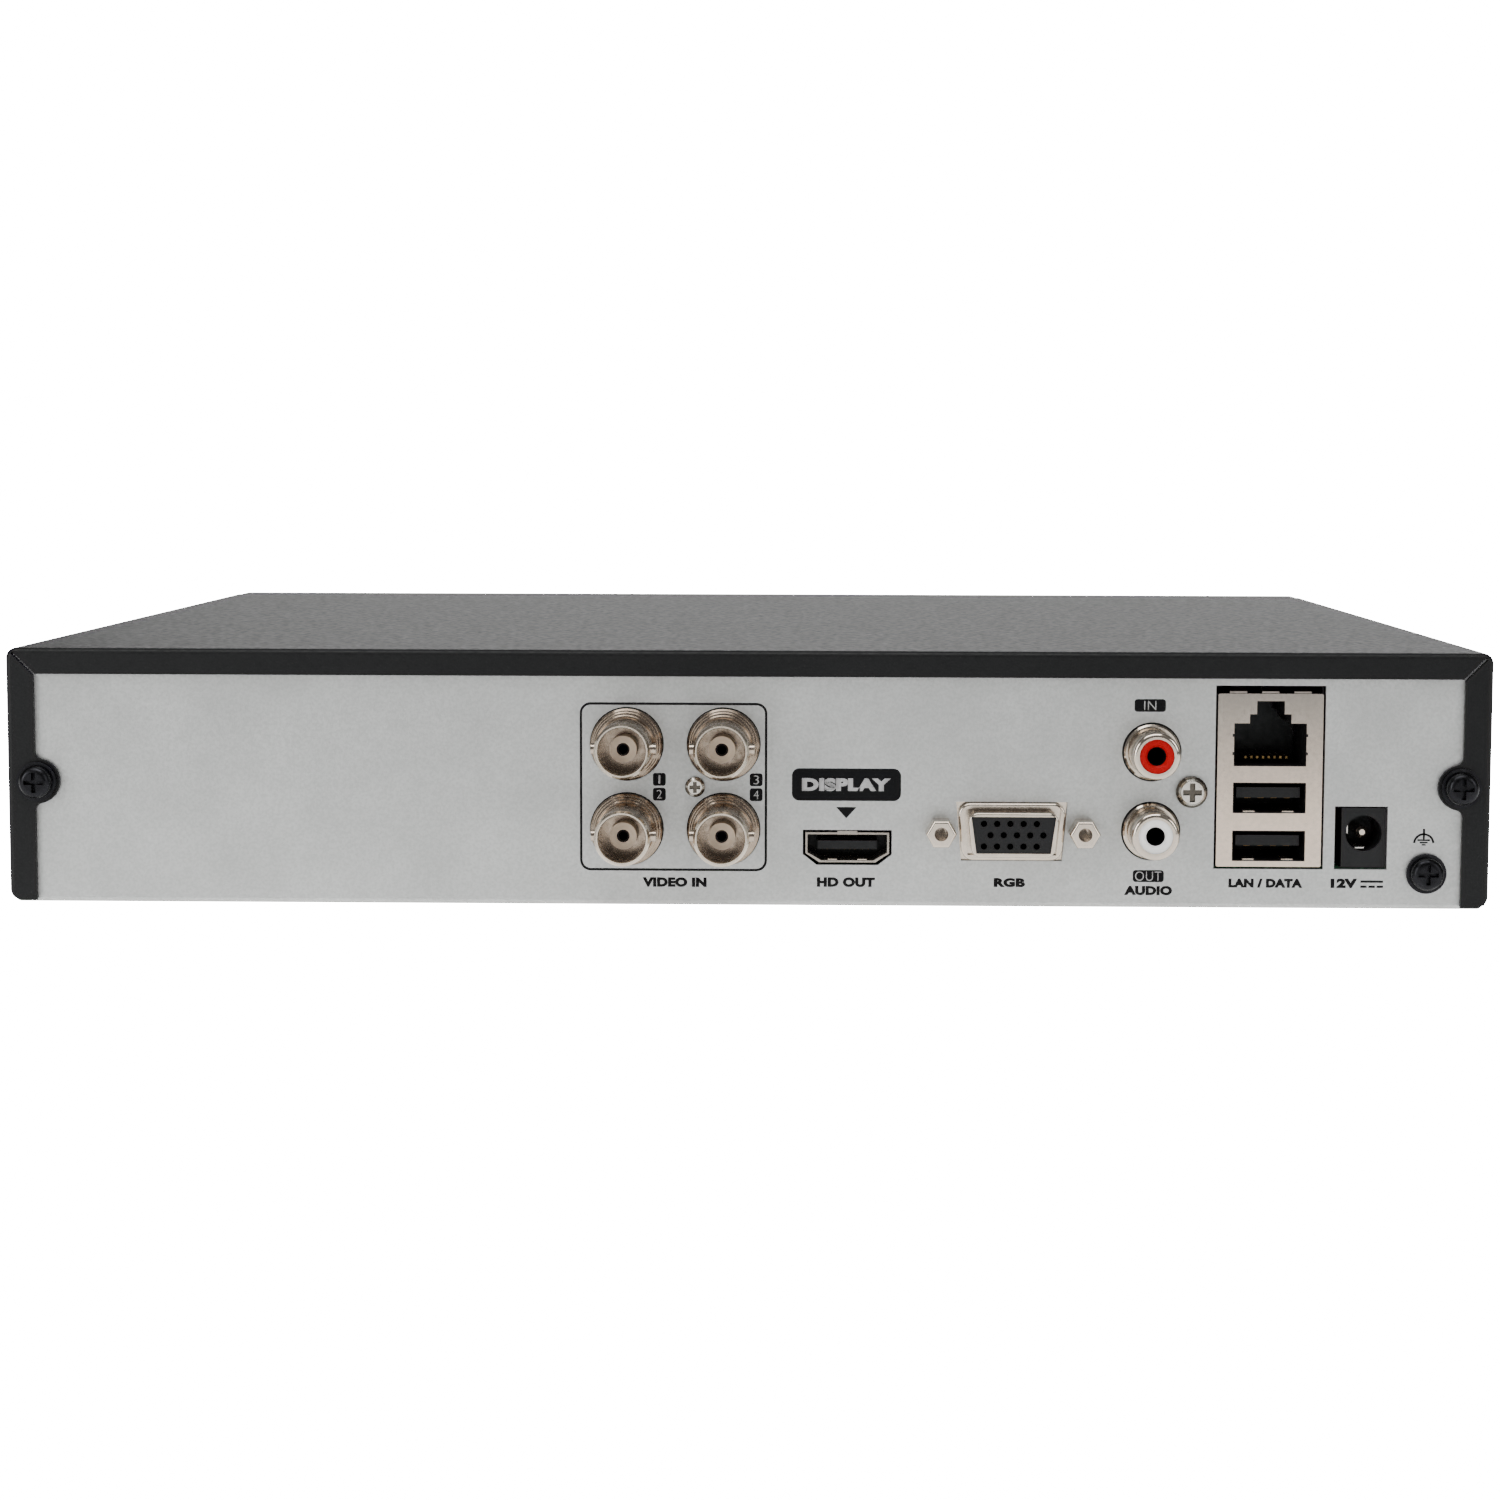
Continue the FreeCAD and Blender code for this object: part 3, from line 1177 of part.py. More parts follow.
def stack_core(x, network):
    """Black core of the stack, with the socket cavities and the two data tongues."""
    core = new_body("stack_core", x, f"{PANEL} - lan_sheet - 0.05", BOARD_TOP)
    half = "(lan_wide / 2 - lan_sheet - 0.05)"
    pad(core, "XZ", "0 - lan_long + 1", "0",
        rectangle(f"0 - {half}", "lan_base", half, "lan_base + lan_tall - lan_sheet - 0.05"))
    pocket(core, "XZ", "0 - lan_socket_deep", "1", network)
    for z in data_rows():
        socket = rectangle("0 - data_wide / 2", z, "data_wide / 2", f"{z} + data_tall")
        pocket(core, "XZ", "0 - data_deep", "1", socket)
        high = f"({z} + data_tall - data_tongue_drop)"
        tongue = rectangle("0 - data_tongue_wide / 2", f"{high} - data_tongue_thick",
                           "data_tongue_wide / 2", high)
        pad(core, "XZ", "0 - data_deep - 1", "0 - data_tongue_recess", tongue)


def build_power_inlet():
    x = f"({from_wall('power_from_wall')} + power_shift)"
    body = new_body("power_inlet", x, f"{PANEL} - power_recess", BOARD_TOP)
    half = "(power_wide / 2)"
    pad(body, "XZ", "0 - power_deep", "0", rectangle(f"0 - {half}", "0.05", half, "power_cut_tall - 0.5"))
    pocket(body, "XZ", "0 - power_bore_deep", "1", circle("0", "power_bore_rise", "power_bore_radius"))
    pin = new_body("power_pin", x, f"{PANEL} - power_recess", f"{BOARD_TOP} + power_bore_rise")
    turned(pin, "XY", ("0", "0 - power_bore_deep"), ("power_pin_radius", "0 - power_bore_deep"),
           ("power_pin_radius", "0 - power_pin_recess - 0.5"),
           ("power_pin_radius - 0.5", "0 - power_pin_recess"), ("0", "0 - power_pin_recess"))


# ---------------------------------------------------------------------------------------------------------
# Electronics on the mainboard
# ---------------------------------------------------------------------------------------------------------
PROCESSOR_X = f"({BOARD_RIGHT} + processor_from_side)"
PROCESSOR_Y = f"({BOARD_FRONT} + processor_from_front)"
DATA_HEADER_X = f"({BOARD_RIGHT} + data_header_from_side)"
POWER_HEADER_X = f"({BOARD_RIGHT} + power_header_from_side)"
LAMP_HEADER_X = f"({BOARD_RIGHT} + lamp_header_from_side)"
CELL_X = f"({BOARD_RIGHT} + cell_from_side)"
CELL_Y = f"({BOARD_FRONT} + cell_from_front)"

# Parts placed by their centre from the mainboard's -X front corner: X, Y, then the size.
CHIPS = (
    ("memory", 96, 16, 9, 13, 1.1),
    ("memory", 108, 16, 9, 13, 1.1),
    ("flash", 46, 24, 6, 8, 1.6),
    ("decoder", 118, 30, 10, 10, 1.2),
    ("decoder", 132, 30, 10, 10, 1.2),
    ("regulator", 36, 27, 5, 6, 1.5),
    ("transformer", 26, 39, 12, 7, 2.4),
)
COILS = (("coil", 46, 38, 7, 7, 4), ("coil", 120, 14, 7, 7, 4))
# Capacitors: X, Y, radius and height.
CANS = ((7, 44, 3.15, 7), (32, 14, 3.15, 7), (39, 14, 3.15, 7), (110, 42, 2.5, 5.5), (117, 42, 2.5, 5.5),
        (132, 12, 3.15, 7))


def on_board(name, x, y, long, wide, tall):
    """A block standing on the mainboard, by its centre."""
    return box(name, f"{x} - {long} / 2", f"{y} - {wide} / 2", BOARD_TOP, long, wide, tall)


def from_corner(x, y):
    """Where something stands, counted from the mainboard's -X front corner."""
    return f"({BOARD_RIGHT} + {x})", f"({BOARD_FRONT} + {y})"


def build_electronics():
    processor = on_board("processor", PROCESSOR_X, PROCESSOR_Y, "processor_wide", "processor_wide",
                         "processor_thick")
    sub_part(processor, "processor")
    build_heat_sink()
    group("board_chips", [on_board(name, *from_corner(x, y), *size) for name, x, y, *size in CHIPS])
    coils = [on_board(name, *from_corner(x, y), *size) for name, x, y, *size in COILS]
    cans = [cylinder("can", *from_corner(x, y), BOARD_TOP, radius, tall) for x, y, radius, tall in CANS]
    group("capacitors_and_coils", coils + cans)
    build_cell()
    build_buzzer()
    headers = [header("data_header", DATA_HEADER_X, "data_header_long", "header_tall"),
               header("power_header", POWER_HEADER_X, "power_header_long", "header_tall"),
               header("lamp_header", LAMP_HEADER_X, "lamp_header_long", "lamp_header_tall")]
    group("cable_headers", headers)


def header(name, x, long, tall):
    """A right-angle cable header at the mainboard's front edge."""
    return box(name, f"{x} - {long} / 2", BOARD_FRONT, BOARD_TOP, long, "header_deep", tall)


def build_buzzer():
    x, y = from_corner("buzzer_from_side", "buzzer_from_front")
    body = new_body("buzzer", x, y, BOARD_TOP)
    turned(body, "XZ", ("buzzer_hole", "buzzer_tall - 2"), ("0", "buzzer_tall - 2"), ("0", "0"),
           ("buzzer_radius", "0"), ("buzzer_radius", "buzzer_tall"), ("buzzer_hole", "buzzer_tall"))


def build_heat_sink():
    base = f"({BOARD_TOP} + processor_thick)"
    sink = new_body("heat_sink", PROCESSOR_X, PROCESSOR_Y, base)
    half = "(sink_wide / 2)"
    pad(sink, "XY", "0", "sink_foot", rectangle(f"0 - {half}", f"0 - {half}", half, half))
    first = rectangle(f"0 - {half}", f"0 - {half}", f"0 - {half} + sink_fin", half)
    fin = pad(sink, "XY", "sink_foot - 0.5", "sink_tall", first)
    row_of(sink, fin, "X", "sink_fins", "(sink_wide - sink_fin) / (sink_fins - 1)")


def build_cell():
    holder = new_body("cell_holder", CELL_X, CELL_Y, BOARD_TOP)
    turned(holder, "XZ", ("0", "0"), ("cell_radius + cell_wall", "0"),
           ("cell_radius + cell_wall", "1 + cell_thick"), ("cell_radius + 0.1", "1 + cell_thick"),
           ("cell_radius + 0.1", "1"), ("0", "1"))
    pocket(holder, "XZ", "0 - cell_radius - 3", "0 - cell_radius * 0.6",
           rectangle("0 - 4", "1.2", "4", "3 + cell_thick"))
    cell_body = new_body("coin_cell", CELL_X, CELL_Y, f"{BOARD_TOP} + 1.02")
    turned(cell_body, "XZ", ("0", "0"), ("cell_radius - 1", "0"), ("cell_radius - 1", "0.3"),
           ("cell_radius", "0.3"), ("cell_radius", "cell_thick"), ("0", "cell_thick"))


# ---------------------------------------------------------------------------------------------------------
# Disk drive: its own frame starts at the socket end's front corner, on its underside
# ---------------------------------------------------------------------------------------------------------
def drive_hole_places():
    """The four drive screws: X and Y on the case floor."""
    return [(f"{DRIVE_LEFT} + drive_hole_first + {i} * drive_hole_pitch", f"{DRIVE_FRONT} + {y}")
            for i in (0, 1) for y in ("drive_hole_side", "drive_wide - drive_hole_side")]


SPINDLE = ("(drive_long - drive_spindle_inset)", "(drive_wide / 2)")
PLATTER_LOW = "(drive_deck + platter_rise)"
ARM_REST_ANGLE = 27.7


def drive_body(label, dx="0", dy="0", dz="0"):
    return new_body(label, f"{DRIVE_LEFT} + {dx}", f"{DRIVE_FRONT} + {dy}", f"{DRIVE_BASE} + {dz}")


def build_drive():
    case_top = "(drive_tall - drive_lid)"
    base = drive_body("drive_casting")
    pad(base, "XY", "0", case_top, rectangle("0", "0", "drive_long", "drive_wide"))
    round_edges(base, "3", lambda e: along(e, Vector(0, 0, 1)))
    pocket(base, "XY", "drive_deck", f"{case_top} + 1", circle(*SPINDLE, "platter_radius + 1"))
    arm_room = rectangle("drive_wall + 5", "drive_wall + 2", "drive_long - drive_spindle_inset - 10",
                         "drive_wide - drive_wall - 12")
    pocket(base, "XY", "drive_deck", f"{case_top} + 1", arm_room)
    pocket(base, "XY", "0 - 1", "2.4", rectangle("4", "8", "drive_long - 46", "drive_wide - 8"))
    pocket(base, "XY", "0 - 1", "7", rectangle("0 - 1", "drive_port_y - 13", "6", "drive_data_y + 9"))
    holes = [circle(f"drive_hole_first + {i} * drive_hole_pitch", y, "thread_radius")
             for i in (0, 1) for y in ("drive_hole_side", "drive_wide - drive_hole_side")]
    pocket(base, "XY", "0 - 1", "6", *holes)
    pad(base, "XY", "drive_deck - 1", f"{PLATTER_LOW} + 4", circle("pivot_x", "pivot_y", "pivot_radius"))
    lid = drive_body("drive_lid", dz=case_top)
    pad(lid, "XY", "0", "drive_lid - 0.3", rectangle("2", "2", "drive_long - 2", "drive_wide - 2"))
    round_edges(lid, "4", lambda e: along(e, Vector(0, 0, 1)))
    raised = [circle(*SPINDLE, "platter_radius - 6"), centred("26", "drive_wide / 2", "30", "60")]
    pad(lid, "XY", "0.1", "drive_lid", *raised)
    build_drive_inside()
    build_drive_outside()


def build_drive_inside():
    hub = drive_body("drive_hub", *SPINDLE)
    low, high = "(drive_deck + 0.4)", f"({PLATTER_LOW} + platter_thick)"
    neck, rim = "hub_radius - 2", "hub_radius + 2"
    turned(hub, "XZ", ("0", low), (neck, low), (neck, f"{PLATTER_LOW} - 1"), (rim, f"{PLATTER_LOW} - 1"),
           (rim, PLATTER_LOW), ("hub_radius", PLATTER_LOW), ("hub_radius", high), (rim, high),
           (rim, f"{high} + 1.2"), ("0", f"{high} + 1.2"))
    platter = drive_body("drive_platter", *SPINDLE, dz=PLATTER_LOW)
    turned(platter, "XZ", ("hub_radius + 0.02", "0.01"), ("platter_radius", "0.01"),
           ("platter_radius", "platter_thick - 0.01"), ("hub_radius + 0.02", "platter_thick - 0.01"))
    arm = drive_body("drive_arm", "pivot_x", "pivot_y", PLATTER_LOW)
    low, high = "(0 - arm_gap - arm_thick)", "(platter_thick + arm_gap)"
    pad(arm, "XY", low, f"{high} + arm_thick", circle("0", "0", "pivot_radius + 4"))
    blade = outline(("0", "0 - 5"), ("arm_long", "0.4"), ("arm_long", "3.2"), ("0", "5.5"))
    pad(arm, "XY", low, f"{low} + arm_thick", blade)
    pad(arm, "XY", high, f"{high} + arm_thick", blade)
    coil = outline(("0", "0 - 4"), ("0", "4"), ("0 - 19", "10"), ("0 - 19", "0 - 10"))
    pad(arm, "XY", "0 - 0.5", "2", coil)
    pocket(arm, "XY", "0 - 6", "8", circle("0", "0", "pivot_radius + pivot_gap"))
    arm.Placement = FreeCAD.Placement(arm.Placement.Base, Rotation(Vector(0, 0, 1), ARM_REST_ANGLE))
    x, front = f"({DRIVE_LEFT} + drive_wall + 7)", f"({DRIVE_FRONT} + drive_wall + 3.5)"
    middle = f"({DRIVE_BASE} + {PLATTER_LOW})"
    magnets = [box("magnet", x, front, z, "magnet_long", "magnet_wide", "magnet_thick")
               for z in (f"{middle} - magnet_thick - 1.5", f"{middle} + 3")]
    posts = [box("post", x, y, f"{middle} - 1.5", "magnet_post", "magnet_post", "4.5")
             for y in (front, f"{front} + magnet_wide - magnet_post")]
    fused = document.addObject("Part::MultiFuse", "drive_magnets")
    fused.Shapes = magnets + posts
    sub_part(fused, "drive_magnets")


def build_drive_outside():
    board = drive_body("drive_board", dz="0.2")
    pad(board, "XY", "0", "1.2", rectangle("5", "9", "drive_long - 47", "drive_wide - 9"))
    pocket(board, "XY", "0 - 1", "3", rectangle("0", "drive_port_y - 13.3", "6.2", "drive_data_y + 9.3"))
    port = drive_body("drive_sockets", dz="drive_port_rise")
    shells = [centred("drive_port_y", "0", "24", "5"), centred("drive_data_y", "0", "14", "5")]
    slots = [centred("drive_port_y", "0.8", "22", "1.6"), centred("drive_data_y", "0.8", "12", "1.6")]
    pad(port, "YZ", "0.3", "5.8", *shells)
    pad(port, "YZ", "4", "5.8", centred("(drive_port_y + drive_data_y) / 2", "0", "30", "3"))
    pocket(port, "YZ", "0", "4.5", *slots)
    screw = master_body("drive_screw_master")
    radius = "thread_radius - thread_gap"
    turned(screw, "XZ", ("0", "0"), ("pan_head_radius", "0"), ("pan_head_radius", "1.5"), (radius, "1.5"),
           (radius, "7.5"), ("0", "7.5"))
    cross_recess(screw, "XY", "0 - 1", "recess_depth", "pan_head_radius * 1.2", "recess_blade")
    copies("drive_screws", screw, [(x, y, "foot_height + 0.5") for x, y in drive_hole_places()])


# ---------------------------------------------------------------------------------------------------------
# Cables inside the case
# ---------------------------------------------------------------------------------------------------------
def lead(points, radii, radius):
    """A round lead along straight runs joined by tangent arcs, one radius for each inner point."""
    edges, start = [], points[0]
    for before, corner, after, bend in zip(points, points[1:], points[2:], radii):
        back, onward = (before - corner).normalize(), (after - corner).normalize()
        half_turn = (math.pi - back.getAngle(onward)) / 2
        reach = bend * math.tan(half_turn)
        first, last = corner + back * reach, corner + onward * reach
        inward = (back + onward).normalize()
        middle = corner + inward * (bend / math.cos(half_turn) - bend)
        edges.append(Part.LineSegment(start, first).toShape())
        edges.append(Part.Arc(first, middle, last).toShape())
        start = last
    edges.append(Part.LineSegment(start, points[-1]).toShape())
    path = Part.Wire(edges)
    section = Part.Wire([Part.Circle(points[0], points[1] - points[0], radius).toShape()])
    return path.makePipeShell([section], True, False)


def solid_feature(label, shape):
    feature = sub_part(document.addObject("Part::Feature", label), label)
    feature.Shape = shape
    return feature


def build_plugs():
    """Plugs on the cables: three at the mainboard's front edge, two at the drive's socket end."""
    y = f"{BOARD_FRONT} - plug_long - 0.1"
    plugs = []
    for x, header_long, tall in ((DATA_HEADER_X, "data_header_long", "plug_tall"),
                                 (POWER_HEADER_X, "power_header_long", "plug_tall"),
                                 (LAMP_HEADER_X, "lamp_header_long", "(plug_tall - 1.2)")):
        long = f"({header_long} - 1)"
        plugs.append(box("plug", f"{x} - {long} / 2", y, f"{BOARD_TOP} + plug_lift", long, "plug_long", tall))
    level = f"{DRIVE_BASE} + drive_port_rise - 2.6"
    for centre, wide in (("drive_port_y", "22"), ("drive_data_y", "12.4")):
        low = f"{DRIVE_FRONT} + {centre} - {wide} / 2"
        plugs.append(box("plug", f"{DRIVE_LEFT} - plug_long", low, level, "plug_long + 0.2", wide, "5.2"))
    group("cable_plugs", plugs)


# Places that the cables start and end at. Each one becomes a worked-out cell of the sheet.
CABLE_PLACES = {
    "plug_back": f"{BOARD_FRONT} - plug_long - 0.12",
    "plug_middle": f"{BOARD_TOP} + plug_lift + plug_tall / 2",
    "drive_socket": f"{DRIVE_LEFT} - plug_long - 0.02",
    "drive_level": f"{DRIVE_BASE} + drive_port_rise",
    "data_start": DATA_HEADER_X,
    "data_end": f"{DRIVE_FRONT} + drive_data_y",
    "power_start": POWER_HEADER_X,
    "power_end": f"{DRIVE_FRONT} + drive_port_y",
    "lamp_start": LAMP_HEADER_X,
    "lamp_end": LAMP_MIDDLE,
    "lamp_level": LAMP_AXIS,
    "lamp_back": f"{LAMP_BOARD_FACE} + lamp_board_sheet + 0.02",
    "front_wall": FRONT_WALL,
}


def work_out_places():
    for row, (name, text) in enumerate(CABLE_PLACES.items(), len(SIZES) + 1):
        sheet.set(f"A{row}", name)
        sheet.set(f"B{row}", f"={text}")
        sheet.setAlias(f"B{row}", name)
    document.recompute()


def build_leads():
    """Data lead and four power wires to the drive, and the wires to the lamp board."""
    solid_feature("data_lead", data_lead())
    solid_feature("power_wires", Part.makeCompound([power_wire(i - 1.5) for i in range(4)]))
    solid_feature("lamp_wires", Part.makeCompound([lamp_wire(i - 1.5) for i in range(4)]))


def data_lead():
    back, level, low = cell("plug_back"), cell("plug_middle"), cell("drive_level")
    x, y, socket = cell("data_start"), cell("data_end"), cell("drive_socket")
    run = [Vector(x, back, level), Vector(x, back - 12, level), Vector(x - 9, back - 40, low),
           Vector(x - 3, y, low), Vector(socket, y, low)]
    return lead(run, [24, 26, (socket - x - 2) * 0.7], cell("data_lead_radius"))


def power_wire(place):
    """One of four parallel wires; place counts pitches from the middle of the row."""
    shift = place * cell("wire_pitch")
    back, level, low = cell("plug_back"), cell("plug_middle"), cell("drive_level")
    x, y = cell("power_start") + shift, cell("power_end") + shift
    run = [Vector(x, back, level), Vector(x, back - 14, level), Vector(x + 3, back - 42, low),
           Vector(x + 3, y, low), Vector(cell("drive_socket"), y, low)]
    return lead(run, [30, 30, 18.25 - shift], cell("power_wire_radius"))


def lamp_wire(place):
    """One of four parallel wires from the mainboard up to the lamp board."""
    shift = place * 1.3
    start, end = cell("lamp_start") + shift, cell("lamp_end") + shift
    back, low, high = cell("plug_back"), cell("plug_middle") - 0.8, cell("lamp_level")
    run = [Vector(start, back, low), Vector(start, back - 22, low),
           Vector(end, cell("front_wall") + 24, high), Vector(end, cell("lamp_back"), high)]
    return lead(run, [26, 26], cell("lamp_wire_radius"))


# ---------------------------------------------------------------------------------------------------------
# Build, check and write
# ---------------------------------------------------------------------------------------------------------
def check():
    document.recompute()
    for thing in document.Objects:
        if "Invalid" in thing.State or "Error" in thing.State:
            raise RuntimeError(f"{thing.Label} failed: {thing.State}")
    for thing in SUB_PARTS:
        if thing.Shape.isNull() or not thing.Shape.isValid() or not thing.Shape.Solids:
            raise RuntimeError(f"{thing.Label} has no valid solid")


def main():
    work_out_places()
    build_cover()
    build_chassis()
    build_feet()
    build_case_screws()
    build_case_nuts()
    build_bezel()
    build_window()
    build_light_pipes()
    build_lamp_board()
    build_board()
    build_bnc()
    build_hd_port()
    build_vga()
    build_phono()
    build_stack()
    build_power_inlet()
    build_electronics()
    build_drive()
    build_plugs()
    build_leads()
    check()
    os.makedirs("parts", exist_ok=True)
    for thing in SUB_PARTS:
        thing.Shape.exportStep(f"parts/{thing.Label}.step")
        print(f"{thing.Label}: {len(thing.Shape.Solids)} solids, {thing.Shape.Volume:.1f} mm3")


main()
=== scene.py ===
"""Looks of the video recorder: materials for the CAD nodes, the printing on the rear panel and the front,
and the small details that the CAD model leaves plain."""

import json
import math
import random

import bmesh
import bpy
from mathutils import Matrix, Vector


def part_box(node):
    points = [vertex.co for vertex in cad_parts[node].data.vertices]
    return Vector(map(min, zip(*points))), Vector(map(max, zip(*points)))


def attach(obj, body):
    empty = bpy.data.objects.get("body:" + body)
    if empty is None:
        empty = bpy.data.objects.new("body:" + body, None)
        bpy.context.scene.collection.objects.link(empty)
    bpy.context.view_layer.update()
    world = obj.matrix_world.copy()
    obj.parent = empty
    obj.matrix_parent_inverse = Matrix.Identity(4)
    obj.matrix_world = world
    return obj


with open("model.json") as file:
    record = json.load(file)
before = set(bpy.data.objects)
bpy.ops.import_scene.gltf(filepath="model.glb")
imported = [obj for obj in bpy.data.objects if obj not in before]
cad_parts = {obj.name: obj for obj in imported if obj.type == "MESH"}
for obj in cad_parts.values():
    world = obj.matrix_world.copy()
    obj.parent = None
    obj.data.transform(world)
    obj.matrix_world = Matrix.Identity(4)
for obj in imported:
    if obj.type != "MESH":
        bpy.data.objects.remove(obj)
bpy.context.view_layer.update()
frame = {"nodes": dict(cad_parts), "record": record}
nodes = frame["nodes"]

MM = 0.001
STAGE_RADIUS = 3.5


def low(node):
    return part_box(node)[0]


def high(node):
    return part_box(node)[1]


def middle(node):
    return (low(node) + high(node)) / 2


PANEL_FACE = high("chassis").y
BOX_BOTTOM = low("chassis").z
BOARD_TOP = high("mainboard").z

# Printing: its thickness, how far strokes grow as a share of the letters' height, and the turns of two walls.
INK_THICK = 0.02 * MM
BOLD = 0.09
THIN = -0.015
FACING_REAR = Matrix(((-1, 0, 0), (0, 0, 1), (0, 1, 0))).to_4x4()
FACING_FRONT = Matrix(((1, 0, 0), (0, 0, -1), (0, 1, 0))).to_4x4()


# ---------------------------------------------------------------------------------------------------------
# Camera, floor and light
# ---------------------------------------------------------------------------------------------------------
# The camera stands behind the cover's rear edge; its lens is in millimetres.
LENS = 73.52
CAMERA_BEHIND = 533.2 * MM
CAMERA_SIDE = -12.8 * MM
CAMERA_UP = 80.9 * MM
CAMERA_YAW = math.radians(1.290)
CAMERA_DOWN = math.radians(5.492)
CAMERA_ROLL = math.radians(0.147)


def make_camera():
    """Looks at the rear panel from behind the recorder and a little above it."""
    data = bpy.data.cameras.new("camera")
    data.lens = LENS
    data.clip_start = 0.01
    data.clip_end = 50.0
    camera = bpy.data.objects.new("camera", data)
    bpy.context.scene.collection.objects.link(camera)
    flat = math.cos(CAMERA_DOWN)
    ahead = Vector((math.sin(CAMERA_YAW) * flat, -math.cos(CAMERA_YAW) * flat, -math.sin(CAMERA_DOWN)))
    right = ahead.cross(Vector((0, 0, 1))).normalized()
    up = right.cross(ahead)
    turned_right = math.cos(CAMERA_ROLL) * right + math.sin(CAMERA_ROLL) * up
    turned_up = math.cos(CAMERA_ROLL) * up - math.sin(CAMERA_ROLL) * right
    place = Matrix((turned_right, turned_up, -ahead)).transposed().to_4x4()
    place.translation = Vector((CAMERA_SIDE, high("top_cover").y + CAMERA_BEHIND, CAMERA_UP))
    camera.matrix_world = place
    bpy.context.scene.camera = camera


def studio_paper(name, pale, glow):
    """White paper that glows by itself, as a lit sweep does."""
    finish = Finish(name, (pale, pale, pale), 0.0, 0.9)
    finish.set("Emission Color", (1, 1, 1, 1))
    finish.set("Emission Strength", glow)
    return finish


def stage_piece(name, mesh_data, material):
    mesh = bpy.data.meshes.new(name)
    mesh_data.to_mesh(mesh)
    mesh_data.free()
    piece = bpy.data.objects.new(name, mesh)
    bpy.context.scene.collection.objects.link(piece)
    mesh.materials.append(material)
    return piece


def seen_by(piece, camera, glossy):
    """Leaves a stage piece to the camera or to reflections alone; it sheds and stops no other light."""
    piece.visible_camera = camera
    piece.visible_glossy = glossy
    piece.visible_diffuse = False
    piece.visible_transmission = False
    piece.visible_shadow = False


def stage_disc():
    made = bmesh.new()
    bmesh.ops.create_circle(made, cap_ends=True, segments=96, radius=STAGE_RADIUS)
    return made


def make_floor():
    """A round pale floor, white paper on it and round it for the camera, and a card that the cover reflects.

    The floor glows most near the recorder and little far off, as a lit table in a dim room does.
    """
    paper = studio_paper("floor_paper", 0.85, 1.0)
    split = paper.nodes.new("ShaderNodeSeparateXYZ")
    paper.links.new(paper.place, split.inputs["Vector"])
    paper.feed("Emission Strength", paper.between(split.outputs["Y"], 0.12, 0.75, 1.0, 0.05))
    floor = stage_piece("floor", stage_disc(), paper.material)
    floor.visible_camera = False
    made = stage_disc()
    bmesh.ops.create_cone(made, cap_ends=False, segments=96, radius1=STAGE_RADIUS, radius2=STAGE_RADIUS,
                          depth=STAGE_RADIUS, matrix=Matrix.Translation((0, 0, STAGE_RADIUS / 2)))
    backdrop = stage_piece("backdrop", made, studio_paper("backdrop_paper", 0.9, 22.0).material)
    seen_by(backdrop, True, False)
    made = bmesh.new()
    rectangle(made, -2.5, -1.5, 2.5, 1.5)
    card = stage_piece("cover_card", made, studio_paper("card_paper", 0.9, 0.85).material)
    card.matrix_world = Matrix.Translation((-1.6, -3.0, 1.5)) @ Matrix.Rotation(math.radians(90), 4, "X")
    seen_by(card, False, True)


def area_light(name, place, aim, wide, tall, watts):
    data = bpy.data.lights.new(name, "AREA")
    data.shape = "RECTANGLE"
    data.size = wide
    data.size_y = tall
    data.energy = watts
    light = bpy.data.objects.new(name, data)
    bpy.context.scene.collection.objects.link(light)
    light.location = place
    light.rotation_mode = "QUATERNION"
    light.rotation_quaternion = (Vector(aim) - Vector(place)).to_track_quat("-Z", "Y")


def make_light():
    """A dim even room, a soft box above the recorder and one on each side behind it."""
    world = bpy.data.worlds.new("studio")
    bpy.context.scene.world = world
    world.use_nodes = True
    background = world.node_tree.nodes["Background"]
    background.inputs["Color"].default_value = (1, 1, 1, 1)
    background.inputs["Strength"].default_value = 0.2
    area_light("soft_top", (0.1, 0.55, 1.2), (0, 0.05, 0), 1.1, 0.7, 13)
    area_light("soft_left", (1.2, 1.2, 0.45), (0, 0.1, 0.02), 0.6, 0.9, 13)
    area_light("soft_right", (-1.3, 1.1, 0.6), (0, 0.1, 0.02), 0.5, 0.8, 8)


